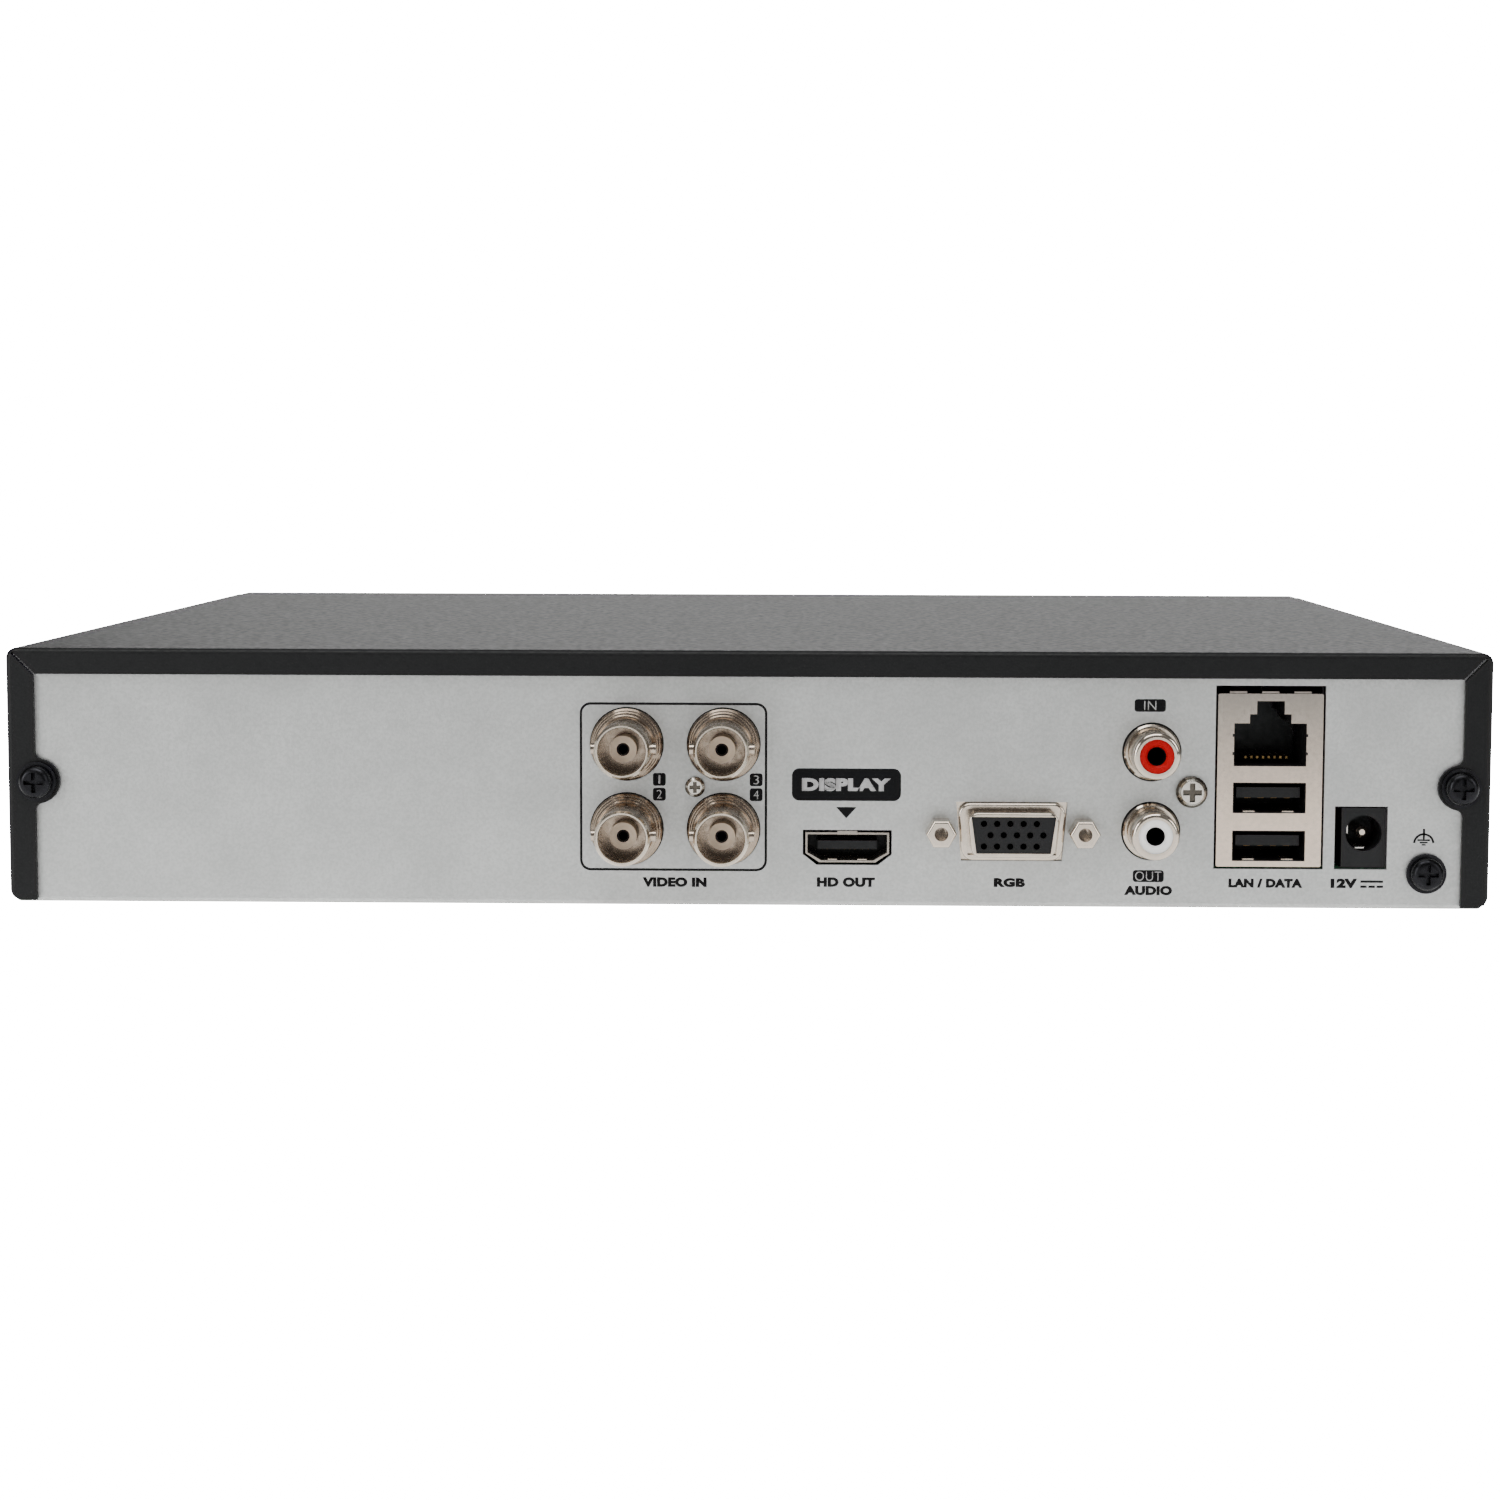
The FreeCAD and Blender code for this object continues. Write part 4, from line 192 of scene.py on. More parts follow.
# ---------------------------------------------------------------------------------------------------------
# Material helpers
# ---------------------------------------------------------------------------------------------------------
class Finish:
    """A procedural material that is being put together. Texture sizes are in millimetres of the object."""

    def __init__(self, name, color, metallic=0.0, roughness=0.5, **sockets):
        self.material = bpy.data.materials.new(name)
        self.material.use_nodes = True
        self.material.diffuse_color = (*color, 1)
        self.nodes = self.material.node_tree.nodes
        self.links = self.material.node_tree.links
        self.shader = self.nodes["Principled BSDF"]
        self.color = (*color, 1)
        self.set("Base Color", self.color)
        self.set("Metallic", metallic)
        self.set("Roughness", roughness)
        for socket, value in sockets.items():
            self.set(socket.replace("_", " "), value)
        self.place = self.nodes.new("ShaderNodeTexCoord").outputs["Object"]

    def set(self, socket, value):
        self.shader.inputs[socket].default_value = value

    def feed(self, socket, output):
        self.links.new(output, self.shader.inputs[socket])

    def stretched(self, stretch):
        mapping = self.nodes.new("ShaderNodeMapping")
        mapping.inputs["Scale"].default_value = stretch
        self.links.new(self.place, mapping.inputs["Vector"])
        return mapping.outputs["Vector"]

    def noise(self, size, detail=2.0, stretch=(1, 1, 1)):
        """Noise whose lumps are about size millimetres."""
        texture = self.nodes.new("ShaderNodeTexNoise")
        texture.inputs["Scale"].default_value = 1 / (size * MM)
        texture.inputs["Detail"].default_value = detail
        self.links.new(self.stretched(stretch), texture.inputs["Vector"])
        return texture.outputs["Fac"]

    def between(self, value, start, end, low_value, high_value):
        """Maps start..end of value to low_value..high_value."""
        node = self.nodes.new("ShaderNodeMapRange")
        self.links.new(value, node.inputs["Value"])
        node.inputs["From Min"].default_value = start
        node.inputs["From Max"].default_value = end
        node.inputs["To Min"].default_value = low_value
        node.inputs["To Max"].default_value = high_value
        return node.outputs["Result"]

    def mix(self, factor, first, second):
        node = self.nodes.new("ShaderNodeMix")
        node.data_type = "RGBA"
        self.links.new(factor, node.inputs["Factor"])
        inputs = [s for s in node.inputs if s.type == "RGBA"]
        for socket, value in zip(inputs, (first, second)):
            if isinstance(value, tuple):
                socket.default_value = value
            else:
                self.links.new(value, socket)
        return [s for s in node.outputs if s.type == "RGBA"][0]

    def shade(self, amount):
        """The material's colour, darkened or lightened by a share."""
        return tuple(min(1.0, c * (1 + amount)) for c in self.color[:3]) + (1,)

    def grade(self, axis, start, end, first, last, size=3.0, amount=0.06):
        """A colour that runs from first to last between two places along an axis, with soft blotches."""
        split = self.nodes.new("ShaderNodeSeparateXYZ")
        self.links.new(self.place, split.inputs["Vector"])
        along = self.between(split.outputs[axis], start, end, 0.0, 1.0)
        blotch = self.between(self.noise(size), 0.3, 0.7, 0.0, amount)
        run = self.mix(along, (*first, 1), (*last, 1))
        self.feed("Base Color", self.mix(blotch, run, (0, 0, 0, 1)))

    def vary_color(self, size, amount, detail=2.0, stretch=(1, 1, 1)):
        factor = self.between(self.noise(size, detail, stretch), 0.3, 0.7, 0.0, 1.0)
        output = self.mix(factor, self.shade(-amount), self.shade(amount))
        self.feed("Base Color", output)
        return output

    def vary_roughness(self, size, low_value, high_value, detail=2.0, stretch=(1, 1, 1)):
        lumps = self.noise(size, detail, stretch)
        self.feed("Roughness", self.between(lumps, 0.3, 0.7, low_value, high_value))

    def bump(self, height, depth, strength=1.0, under=None):
        """Bump of that depth in millimetres, over an earlier bump's normal."""
        node = self.nodes.new("ShaderNodeBump")
        node.inputs["Strength"].default_value = strength
        node.inputs["Distance"].default_value = depth * MM
        self.links.new(height, node.inputs["Height"])
        if under is not None:
            self.links.new(under, node.inputs["Normal"])
        self.feed("Normal", node.outputs["Normal"])
        return node.outputs["Normal"]


def moulded(name, color, roughness=0.45, grain=0.25, depth=0.004, vary=0.08, specular=0.5):
    """Moulded plastic with a fine spark-eroded grain."""
    finish = Finish(name, color, 0.0, roughness, Specular_IOR_Level=specular)
    finish.vary_color(6.0, vary)
    finish.vary_roughness(1.2, roughness - 0.06, roughness + 0.08)
    finish.bump(finish.noise(grain, 1.0), depth)
    return finish.material


def plated(name, color, roughness=0.18, vary=0.05, depth=0.002, stretch=(1, 1, 1)):
    """Plated metal with faint handling marks."""
    finish = Finish(name, color, 1.0, roughness)
    finish.vary_color(3.0, vary)
    finish.vary_roughness(0.8, roughness * 0.7, roughness * 1.5, 4.0, stretch)
    finish.bump(finish.noise(0.35, 3.0, stretch), depth)
    return finish.material


def graded_plate(name, axis, start, end, first, last, roughness):
    """Plated metal whose tone changes along an axis, such as a recess painted with shade at its foot."""
    finish = Finish(name, last, 1.0, roughness)
    finish.grade(axis, start, end, first, last)
    finish.vary_roughness(0.8, roughness * 0.7, roughness * 1.5, 4.0)
    finish.bump(finish.noise(0.35, 3.0), 0.002)
    return finish.material


def powder_coat():
    """Black powder coat: fine orange peel over a coarser ripple."""
    finish = Finish("black_powder_coat", (0.0035, 0.0035, 0.0038), 0.0, 0.45, Specular_IOR_Level=0.22)
    finish.vary_color(14.0, 0.15)
    finish.vary_roughness(1.1, 0.4, 0.56, 3.0)
    ripple = finish.bump(finish.noise(1.6, 1.0), 0.012, 0.6)
    finish.bump(finish.noise(0.42, 2.0), 0.02, 0.8, ripple)
    return finish.material


def zinc_sheet():
    """Zinc-coated steel: matt grey with fine speckle, soft blotches and faint rolling lines."""
    finish = Finish("zinc_sheet", (0.5, 0.51, 0.5), 0.8, 0.42)
    blotch = finish.between(finish.noise(11.0, 3.0), 0.3, 0.7, 0.0, 1.0)
    wide = finish.mix(blotch, finish.shade(-0.07), finish.shade(0.06))
    speck = finish.between(finish.noise(0.55, 3.0), 0.38, 0.62, 0.0, 0.3)
    finish.feed("Base Color", finish.mix(speck, wide, finish.shade(-0.35)))
    finish.vary_roughness(0.5, 0.34, 0.52, 3.0)
    lines = finish.bump(finish.noise(0.6, 2.0, (1, 1, 0.06)), 0.004, 0.5)
    finish.bump(finish.noise(0.3, 2.0), 0.007, 0.6, lines)
    return finish.material


def circuit_board():
    """Green solder mask with raised copper runs and bright pads."""
    finish = Finish("circuit_board", (0.012, 0.075, 0.03), 0.0, 0.35)
    brick = finish.nodes.new("ShaderNodeTexBrick")
    brick.inputs["Scale"].default_value = 90.0
    brick.inputs["Mortar Size"].default_value = 0.035
    finish.links.new(finish.place, brick.inputs["Vector"])
    runs = brick.outputs["Fac"]
    finish.feed("Base Color", finish.mix(runs, finish.shade(0.0), finish.shade(0.9)))
    finish.bump(runs, 0.02, 0.6)
    return finish.material


def drive_cast():
    """Cast drive body with a satin dark coat."""
    finish = Finish("drive_cast", (0.05, 0.05, 0.052), 0.6, 0.42)
    finish.vary_color(5.0, 0.15)
    finish.vary_roughness(1.0, 0.35, 0.55)
    finish.bump(finish.noise(0.6, 3.0), 0.015, 0.7)
    return finish.material


def make_materials():
    """One material for each of the record's slots."""
    return {
        "cover_coat": powder_coat(),
        "zinc_sheet": zinc_sheet(),
        "black_screw": plated("black_zinc", (0.018, 0.018, 0.02), 0.3, 0.2),
        "bright_steel": plated("bright_steel", (0.62, 0.6, 0.56), 0.2),
        "foot_rubber": moulded("foot_rubber", (0.02, 0.02, 0.02), 0.75, 0.5, 0.01),
        "bezel_plastic": moulded("bezel_plastic", (0.008, 0.008, 0.009), 0.5, 0.4, 0.012, specular=0.35),
        "window_gloss": moulded("window_gloss", (0.004, 0.004, 0.005), 0.1, 4.0, 0.002),
        "clear_plastic": moulded("clear_pipe", (0.75, 0.8, 0.82), 0.2, 1.0, 0.002),
        "lamp_plastic": moulded("lamp_lens", (0.85, 0.85, 0.78), 0.25, 1.0, 0.002),
        "circuit_board": circuit_board(),
        "jack_nickel": plated("jack_nickel", (0.56, 0.49, 0.41), 0.13, 0.08),
        "shield_tin": plated("shield_tin", (0.56, 0.49, 0.41), 0.16, 0.04, 0.003, (1, 1, 0.1)),
        "white_dielectric": moulded("white_dielectric", (0.56, 0.45, 0.34), 0.4),
        "gold_contact": plated("gold_contact", (0.2, 0.13, 0.05), 0.3),
        "jack_black": moulded("jack_black", (0.006, 0.006, 0.0065), 0.4, specular=0.25),
        "red_insert": moulded("red_insert", (0.32, 0.0, 0.001), 0.45, specular=0.12),
        "white_insert": moulded("white_insert", (0.78, 0.78, 0.76), 0.35),
        "chip_epoxy": moulded("chip_epoxy", (0.018, 0.018, 0.02), 0.55, 0.2, 0.008),
        "sink_aluminium": plated("black_anodised", (0.03, 0.03, 0.033), 0.4, 0.1, 0.004, (1, 0.05, 1)),
        "can_aluminium": plated("can_sleeve", (0.65, 0.65, 0.66), 0.3),
        "header_plastic": moulded("natural_nylon", (0.72, 0.68, 0.58), 0.45),
        "cell_steel": plated("cell_steel", (0.7, 0.7, 0.7), 0.22),
        "data_sheath": moulded("red_vinyl", (0.42, 0.012, 0.012), 0.4, 0.8, 0.006),
        "wire_sheath": moulded("yellow_vinyl", (0.6, 0.4, 0.03), 0.4, 0.8, 0.006),
        "drive_casting": drive_cast(),
        "drive_lid": plated("brushed_lid", (0.62, 0.62, 0.63), 0.32, 0.05, 0.004, (0.04, 1, 1)),
        "platter_mirror": plated("platter_mirror", (0.8, 0.79, 0.77), 0.05, 0.01, 0.0005),
        "arm_aluminium": plated("machined_aluminium", (0.7, 0.7, 0.71), 0.28),
    }


def islands(node):
    """The node's separate solids, each as a list of polygons with its centre, from -X to +X."""
    mesh = node.data
    parent = {}

    def root(key):
        while parent[key] != key:
            parent[key] = parent[parent[key]]
            key = parent[key]
        return key

    spots = [tuple(round(c / (0.001 * MM)) for c in v.co) for v in mesh.vertices]
    for spot in spots:
        parent.setdefault(spot, spot)
    for polygon in mesh.polygons:
        first = root(spots[polygon.vertices[0]])
        for index in polygon.vertices[1:]:
            parent[root(spots[index])] = first
    found = {}
    for polygon in mesh.polygons:
        found.setdefault(root(spots[polygon.vertices[0]]), []).append(polygon)
    solids = []
    for polygons in found.values():
        centre = sum((p.center for p in polygons), Vector()) / len(polygons)
        solids.append((centre, polygons))
    return sorted(solids, key=lambda solid: solid[0].x)


def extents(name):
    """The lowest and highest corner of each separate solid of a node, from -X to +X."""
    node = nodes[name]
    found = []
    for centre, polygons in islands(node):
        points = [node.data.vertices[i].co for p in polygons for i in p.vertices]
        found.append((Vector([min(p[axis] for p in points) for axis in range(3)]),
                      Vector([max(p[axis] for p in points) for axis in range(3)])))
    return found


def paint_solids(name, choices, pick):
    """Gives each solid of a node the material at the place in choices that pick(number, centre) gives."""
    node = nodes[name]
    node.data.materials.clear()
    for material in choices:
        node.data.materials.append(material)
    for number, (centre, polygons) in enumerate(islands(node)):
        for polygon in polygons:
            polygon.material_index = pick(number, centre)


def soften(name, width):
    """Rounds a node's sharp edges a little, so that they catch the light."""
    bevel = nodes[name].modifiers.new("soft_edges", "BEVEL")
    bevel.width = width * MM
    bevel.segments = 2
    bevel.limit_method = "ANGLE"
    bevel.angle_limit = math.radians(40)


# Bevels in millimetres, for the nodes whose edges the real object rounds.
SOFT_EDGES = {"cable_plugs": 0.3, "cable_headers": 0.25, "board_chips": 0.12, "processor": 0.15,
              "bnc_block": 0.3, "phono_block": 0.3, "power_inlet": 0.15, "drive_lid": 0.15,
              "drive_magnets": 0.3, "mainboard": 0.1}


def dress_nodes(materials):
    """Gives every CAD node its slot's material, and soft glints on its edges."""
    slots = {part["node"]: part["material_slot"] for part in frame["record"]["subparts"]}
    for name, node in nodes.items():
        node.data.materials.clear()
        node.data.materials.append(materials[slots[name]])
    for name, width in SOFT_EDGES.items():
        soften(name, width)
    dress_sockets()
    wires = [moulded(f"{color}_wire", shade, 0.4, 0.8, 0.006) for color, shade in (
        ("yellow", (0.62, 0.42, 0.03)), ("black", (0.012, 0.012, 0.013)), ("red", (0.45, 0.012, 0.012)),
        ("white", (0.7, 0.7, 0.68)), ("green", (0.02, 0.25, 0.05)))]
    paint_solids("power_wires", wires, lambda number, centre: (0, 1, 1, 2)[number])
    paint_solids("lamp_wires", wires, lambda number, centre: (1, 3, 4, 2)[number])
    paint_solids("capacitors_and_coils", [materials["can_aluminium"], ferrite()],
                 lambda number, centre: int(centre.z < low("capacitors_and_coils").z + 2.4 * MM))
    paint_solids("cable_plugs", [materials["header_plastic"], materials["jack_black"]],
                 lambda number, centre: int(centre.y < low("mainboard").y - 20 * MM))
    lamps = [glowing("green_lamp", (0.05, 0.8, 0.2)), glowing("blue_lamp", (0.05, 0.3, 0.9)),
             glowing("red_lamp", (0.9, 0.06, 0.04))]
    paint_solids("status_lamps", lamps, lambda number, centre: number)


def dress_sockets():
    """Plated parts on the rear panel: painted shade on the video contacts, down the bores and in the screw
    recesses, and a shield painted lighter at its foot and darker at its top.
    """
    def dress(name, material):
        nodes[name].data.materials[0] = material

    # The video sockets' centre contacts are painted near black: painted shade deep in their bores.
    dress("bnc_contacts", moulded("contact_painted_shade", (0.012, 0.009, 0.006), 0.5, specular=0.1))
    # The screw heads are painted darker below their faces: painted shade in their recesses.
    recess_shade_steel, face_steel = (0.1, 0.09, 0.075), (0.62, 0.59, 0.53)
    for name in ("bnc_block_screw", "phono_screw"):
        face = high(name).y
        dress(name, graded_plate(f"{name}_steel", "Y", face - 0.55 * MM, face - 0.3 * MM, recess_shade_steel,
                                 face_steel, 0.2))
    # The video barrels are painted darker towards their depth: painted shade down their bores.
    bore_shade_nickel, rim_nickel = (0.36, 0.29, 0.225), (0.6, 0.53, 0.44)
    for number in range(1, 5):
        name = f"bnc_barrel_{number}"
        mouth = high(name).y
        dress(name, graded_plate(f"{name}_nickel", "Y", mouth - 7 * MM, mouth - 0.4 * MM, bore_shade_nickel,
                                 rim_nickel, 0.2))
    # The network shield is painted lighter and warmer towards its foot and darker grey towards its top:
    # painted light and shade.
    lit_foot_tin, shaded_top_tin = (0.64, 0.53, 0.43), (0.34, 0.31, 0.275)
    foot, top = low("stack_shield").z, high("stack_shield").z
    dress("stack_shield", graded_plate("stack_tin", "Z", foot + 8 * MM, top, lit_foot_tin, shaded_top_tin, 0.16))
    dress("hd_port_shell", plated("port_tin", (0.34, 0.31, 0.27), 0.28))


def ferrite():
    finish = Finish("ferrite", (0.045, 0.045, 0.047), 0.1, 0.6)
    finish.vary_color(1.5, 0.2)
    finish.vary_roughness(0.6, 0.5, 0.7)
    finish.bump(finish.noise(0.3, 2.0), 0.02)
    return finish.material


def glowing(name, color):
    finish = Finish(name, color, 0.0, 0.3)
    finish.vary_color(0.8, 0.1)
    finish.vary_roughness(0.4, 0.25, 0.4)
    finish.bump(finish.noise(0.3, 1.0), 0.004)
    finish.set("Emission Color", (*color, 1))
    finish.set("Emission Strength", 1.5)
    return finish.material


# ---------------------------------------------------------------------------------------------------------
# Printing
# ---------------------------------------------------------------------------------------------------------


def ink(name, color):
    finish = Finish(name, color, 0.0, 0.6, Specular_IOR_Level=0.1)
    finish.vary_color(2.0, 0.1)
    finish.vary_roughness(0.6, 0.52, 0.68)
    finish.bump(finish.noise(0.15, 1.0), 0.002)
    return finish.material


def mesh_piece(name, mesh_data, place):
    mesh = bpy.data.meshes.new(name)
    mesh_data.to_mesh(mesh)
    mesh_data.free()
    piece = bpy.data.objects.new(name, mesh)
    bpy.context.scene.collection.objects.link(piece)
    mesh.transform(place)
    return piece


def text_mesh(words, tall, bold=0.0, spacing=1.0):
    """Words as a flat bmesh on XY, centred, with capitals of that height in metres."""
    curve = bpy.data.curves.new("words", "FONT")
    curve.body = words
    curve.size = tall / 0.73
    curve.offset = bold * tall
    curve.space_character = spacing
    curve.resolution_u = 4
    holder = bpy.data.objects.new("words", curve)
    bpy.context.scene.collection.objects.link(holder)
    bpy.context.view_layer.update()
    flat = bpy.data.meshes.new_from_object(holder.evaluated_get(bpy.context.evaluated_depsgraph_get()))
    bpy.data.objects.remove(holder)
    made = bmesh.new()
    made.from_mesh(flat)
    bmesh.ops.remove_doubles(made, verts=made.verts, dist=1e-7)
    ys = [v.co.y for v in made.verts]
    bmesh.ops.scale(made, verts=made.verts, vec=(1, tall / (max(ys) - min(ys)), 1))
    centre_mesh(made)
    return made


def centre_mesh(made):
    xs = [v.co.x for v in made.verts]
    ys = [v.co.y for v in made.verts]
    shift = Vector(((min(xs) + max(xs)) / 2, (min(ys) + max(ys)) / 2, 0))
    bmesh.ops.translate(made, verts=made.verts, vec=-shift)


def fit_width(made, wide):
    xs = [v.co.x for v in made.verts]
    bmesh.ops.scale(made, verts=made.verts, vec=(wide / (max(xs) - min(xs)), 1, 1))


def rounded_rectangle(wide, tall, radius, steps=8):
    """Corner points of a rounded rectangle about the origin, counter-clockwise."""
    points = []
    for turn, (sx, sy) in enumerate(((1, 1), (-1, 1), (-1, -1), (1, -1))):
        centre = Vector((sx * (wide / 2 - radius), sy * (tall / 2 - radius), 0))
        for step in range(steps + 1):
            angle = math.pi / 2 * (turn + step / steps)
            points.append(centre + radius * Vector((math.cos(angle), math.sin(angle), 0)))
    return points


def filled(made, points):
    made.faces.new([made.verts.new(p) for p in points])


def ring(made, outer, inner):
    """The band between two outlines that have the same number of points."""
    out = [made.verts.new(p) for p in outer]
    into = [made.verts.new(p) for p in inner]
    for i in range(len(out)):
        j = (i + 1) % len(out)
        made.faces.new((out[i], out[j], into[j], into[i]))


def rectangle(made, x0, y0, x1, y1):
    filled(made, [Vector((x0, y0, 0)), Vector((x1, y0, 0)), Vector((x1, y1, 0)), Vector((x0, y1, 0))])


def thicken(made, thick):
    """Turns flat faces into a closed sheet of that thickness above them."""
    made.normal_update()
    faces = list(made.faces)
    result = bmesh.ops.extrude_face_region(made, geom=faces)
    raised = [v for v in result["geom"] if isinstance(v, bmesh.types.BMVert)]
    bmesh.ops.translate(made, verts=raised, vec=(0, 0, thick))
    bmesh.ops.recalc_face_normals(made, faces=made.faces)


def print_on(name, made, x, y, z, facing, material):
    """A thin printed piece that lies on a wall at y; its own XY plane becomes the wall's."""
    thicken(made, INK_THICK)
    small_part(name, made, (material,), "chassis", place=Matrix.Translation((x, y, z)) @ facing)


class RearPrint:
    """The rear panel's printing. Heights are in millimetres over the underside of the case."""

    def __init__(self):
        self.black = ink("panel_ink", (0.003, 0.003, 0.0035))
        self.pale = ink("panel_ink_pale", (0.36, 0.36, 0.36))

    def shape(self, name, made, x, height, pale=False):
        material = self.pale if pale else self.black
        lift = INK_THICK if pale else 0
        return print_on(name, made, x, PANEL_FACE + lift, BOX_BOTTOM + height * MM, FACING_REAR, material)

    def words(self, name, text, x, height, tall, wide, bold=BOLD, pale=False):
        made = text_mesh(text, tall * MM, bold, 1.06)
        fit_width(made, wide * MM)
        self.shape(name, made, x, height, pale)

    def badge(self, name, x, height, wide, tall, radius):
        made = bmesh.new()
        filled(made, rounded_rectangle(wide * MM, tall * MM, radius * MM))
        self.shape(name, made, x, height)

    def bars(self, name, x, height, boxes):
        """Filled rectangles: centre X and Z from the given point, width and height."""
        made = bmesh.new()
        for dx, dz, wide, tall in boxes:
            rectangle(made, (dx - wide / 2) * MM, (dz - tall / 2) * MM, (dx + wide / 2) * MM,
                      (dz + tall / 2) * MM)
        self.shape(name, made, x, height)


def video_print(rear):
    jacks = [middle(f"bnc_barrel_{i}") for i in range(1, 5)]
    group = sum(jacks, Vector()) / 4
    line, wide, tall, radius = 0.42 * MM, 32.9 * MM, 29.7 * MM, 1.9 * MM
    made = bmesh.new()
    ring(made, rounded_rectangle(wide, tall, radius),
         rounded_rectangle(wide - 2 * line, tall - 2 * line, radius - line))
    rear.shape("print_video_frame", made, group.x + 0.3 * MM, 20.95)
    rear.words("print_video_in", "VIDEO IN", group.x + 0.1 * MM, 4.1, 1.7, 11.3)
    for number, jack in enumerate(jacks, 1):
        x, height = jack.x - 5.72 * MM, 22.28 if number % 2 else 19.65
        rear.badge(f"print_badge_{number}", x, height, 2.25, 2.25, 0.45)
        wide = 0.35 if number == 1 else 0.95
        rear.words(f"print_number_{number}", str(number), x, height, 1.55, wide, THIN, True)


def display_print(rear):
    x = middle("hd_port_shell").x
    rear.badge("print_display_badge", x + 0.2 * MM, 21.5, 19.1, 5.7, 1.3)
    rear.words("print_display", "DISPLAY", x + 0.2 * MM, 21.5, 2.3, 15.6, BOLD, True)
    made = bmesh.new()
    filled(made, [Vector((-1.79, 0.98, 0)) * MM, Vector((0, -0.98, 0)) * MM, Vector((1.79, 0.98, 0)) * MM])
    rear.shape("print_pointer", made, x + 0.2 * MM, 16.56)
    rear.words("print_hd_out", "HD OUT", x + 0.2 * MM, 4.26, 1.72, 10.2)
    rear.words("print_rgb", "RGB", middle("vga_shell").x + 0.3 * MM, 4.35, 1.6, 5.5)


def sound_print(rear):
    x = middle("phono_barrel_in").x
    rear.badge("print_in_badge", x + 0.4 * MM, 35.66, 5.44, 2.2, 0.5)
    rear.words("print_in", "IN", x + 0.4 * MM, 35.66, 1.6, 2.1, THIN, True)
    rear.badge("print_out_badge", x + 0.3 * MM, 5.64, 5.42, 2.1, 0.5)
    rear.words("print_out", "OUT", x + 0.3 * MM, 5.64, 1.65, 4.6, THIN, True)
    rear.words("print_audio", "AUDIO", x + 0.3 * MM, 3.08, 1.65, 8.4)


def power_print(rear):
    x = middle("power_inlet").x
    rear.words("print_lan", "LAN / DATA", middle("stack_shield").x + 0.4 * MM, 4.5, 1.6, 12.9)
    rear.words("print_volts", "12V", x + 3.4 * MM, 4.55, 1.67, 4.64)
    dashes = [(-1.42 + 1.42 * i, -0.42, 1.12, 0.4) for i in range(3)]
    rear.bars("print_direct_current", x - 1.45 * MM, 4.4, [(0, 0.48, 3.95, 0.4)] + dashes)


def ground_print(rear):
    """An arch over three shrinking bars, with a stem through its top."""
    made = bmesh.new()
    radius, line = 1.85 * MM, 0.36 * MM
    outer, inner = [], []
    for step in range(25):
        angle = math.radians(4 + 172 * step / 24)
        way = Vector((math.cos(angle), math.sin(angle), 0))
        outer.append(radius * way)
        inner.append((radius - line) * way)
    filled(made, outer + inner[::-1])
    x = middle("ground_screw").x + 0.45 * MM
    rear.shape("print_ground_arch", made, x, 11.62)
    rear.bars("print_ground_bars", x, 11.62, [(0, 1.66, 0.34, 1.92), (0, 0.62, 2.2, 0.28),
                                              (0, 0.2, 1.4, 0.26), (0, -0.2, 0.7, 0.24)])


def panel_graphics():
    rear = RearPrint()
    video_print(rear)
    display_print(rear)
    sound_print(rear)
    power_print(rear)
    ground_print(rear)


# ---------------------------------------------------------------------------------------------------------
# Small parts
# ---------------------------------------------------------------------------------------------------------
def block(made, centre, size, number=0):
    """Adds a box by its centre and size; number is the index of its material."""
    result = bmesh.ops.create_cube(made, size=1.0)
    bmesh.ops.scale(made, verts=result["verts"], vec=size)
    bmesh.ops.translate(made, verts=result["verts"], vec=centre)
    for face in {face for vert in result["verts"] for face in vert.link_faces}:
        face.material_index = number


def disc(made, centre, radius, tall, axis="Z", segments=32, number=0, top=None):
    """Adds a short cylinder, or a cone when top differs from radius, by its centre."""
    turn = {"Z": Matrix.Identity(4), "Y": Matrix.Rotation(math.radians(-90), 4, "X")}[axis]
    result = bmesh.ops.create_cone(made, cap_ends=True, segments=segments, radius1=radius,
                                   radius2=radius if top is None else top, depth=tall,
                                   matrix=Matrix.Translation(centre) @ turn)
    for face in {face for vert in result["verts"] for face in vert.link_faces}:
        face.material_index = number


def sleeve(made, centre, outer, inner, tall, segments=32):
    """Adds an open tube along Y by its centre."""
    loops = []
    for radius, level in ((outer, -tall / 2), (outer, tall / 2), (inner, tall / 2), (inner, -tall / 2)):
        loop = []
        for step in range(segments):
            angle = 2 * math.pi * step / segments
            way = Vector((radius * math.cos(angle), level, radius * math.sin(angle)))
            loop.append(made.verts.new(centre + way))
        loops.append(loop)
    for here, there in zip(loops, loops[1:] + loops[:1]):
        for step in range(segments):
            after = (step + 1) % segments
            made.faces.new((here[step], here[after], there[after], there[step]))
    bmesh.ops.recalc_face_normals(made, faces=made.faces)


def phono_sleeves():
    """Painted shade down the bores of the two sound sockets: black sleeves, each closed at its foot."""
    made = bmesh.new()
    black = moulded("bore_shade_black", (0.003, 0.003, 0.003), 0.6, specular=0.05)
    for name in ("phono_insert_in", "phono_insert_out"):
        centre = middle(name)
        mouth = high(name).y
        sleeve(made, Vector((centre.x, mouth - 4.7 * MM, centre.z)), 1.62 * MM, 1.5 * MM, 8.1 * MM)
        disc(made, (centre.x, mouth - 8.6 * MM, centre.z), 1.49 * MM, 0.3 * MM, "Y")
    small_part("phono_sleeves", made, (black,), "chassis")


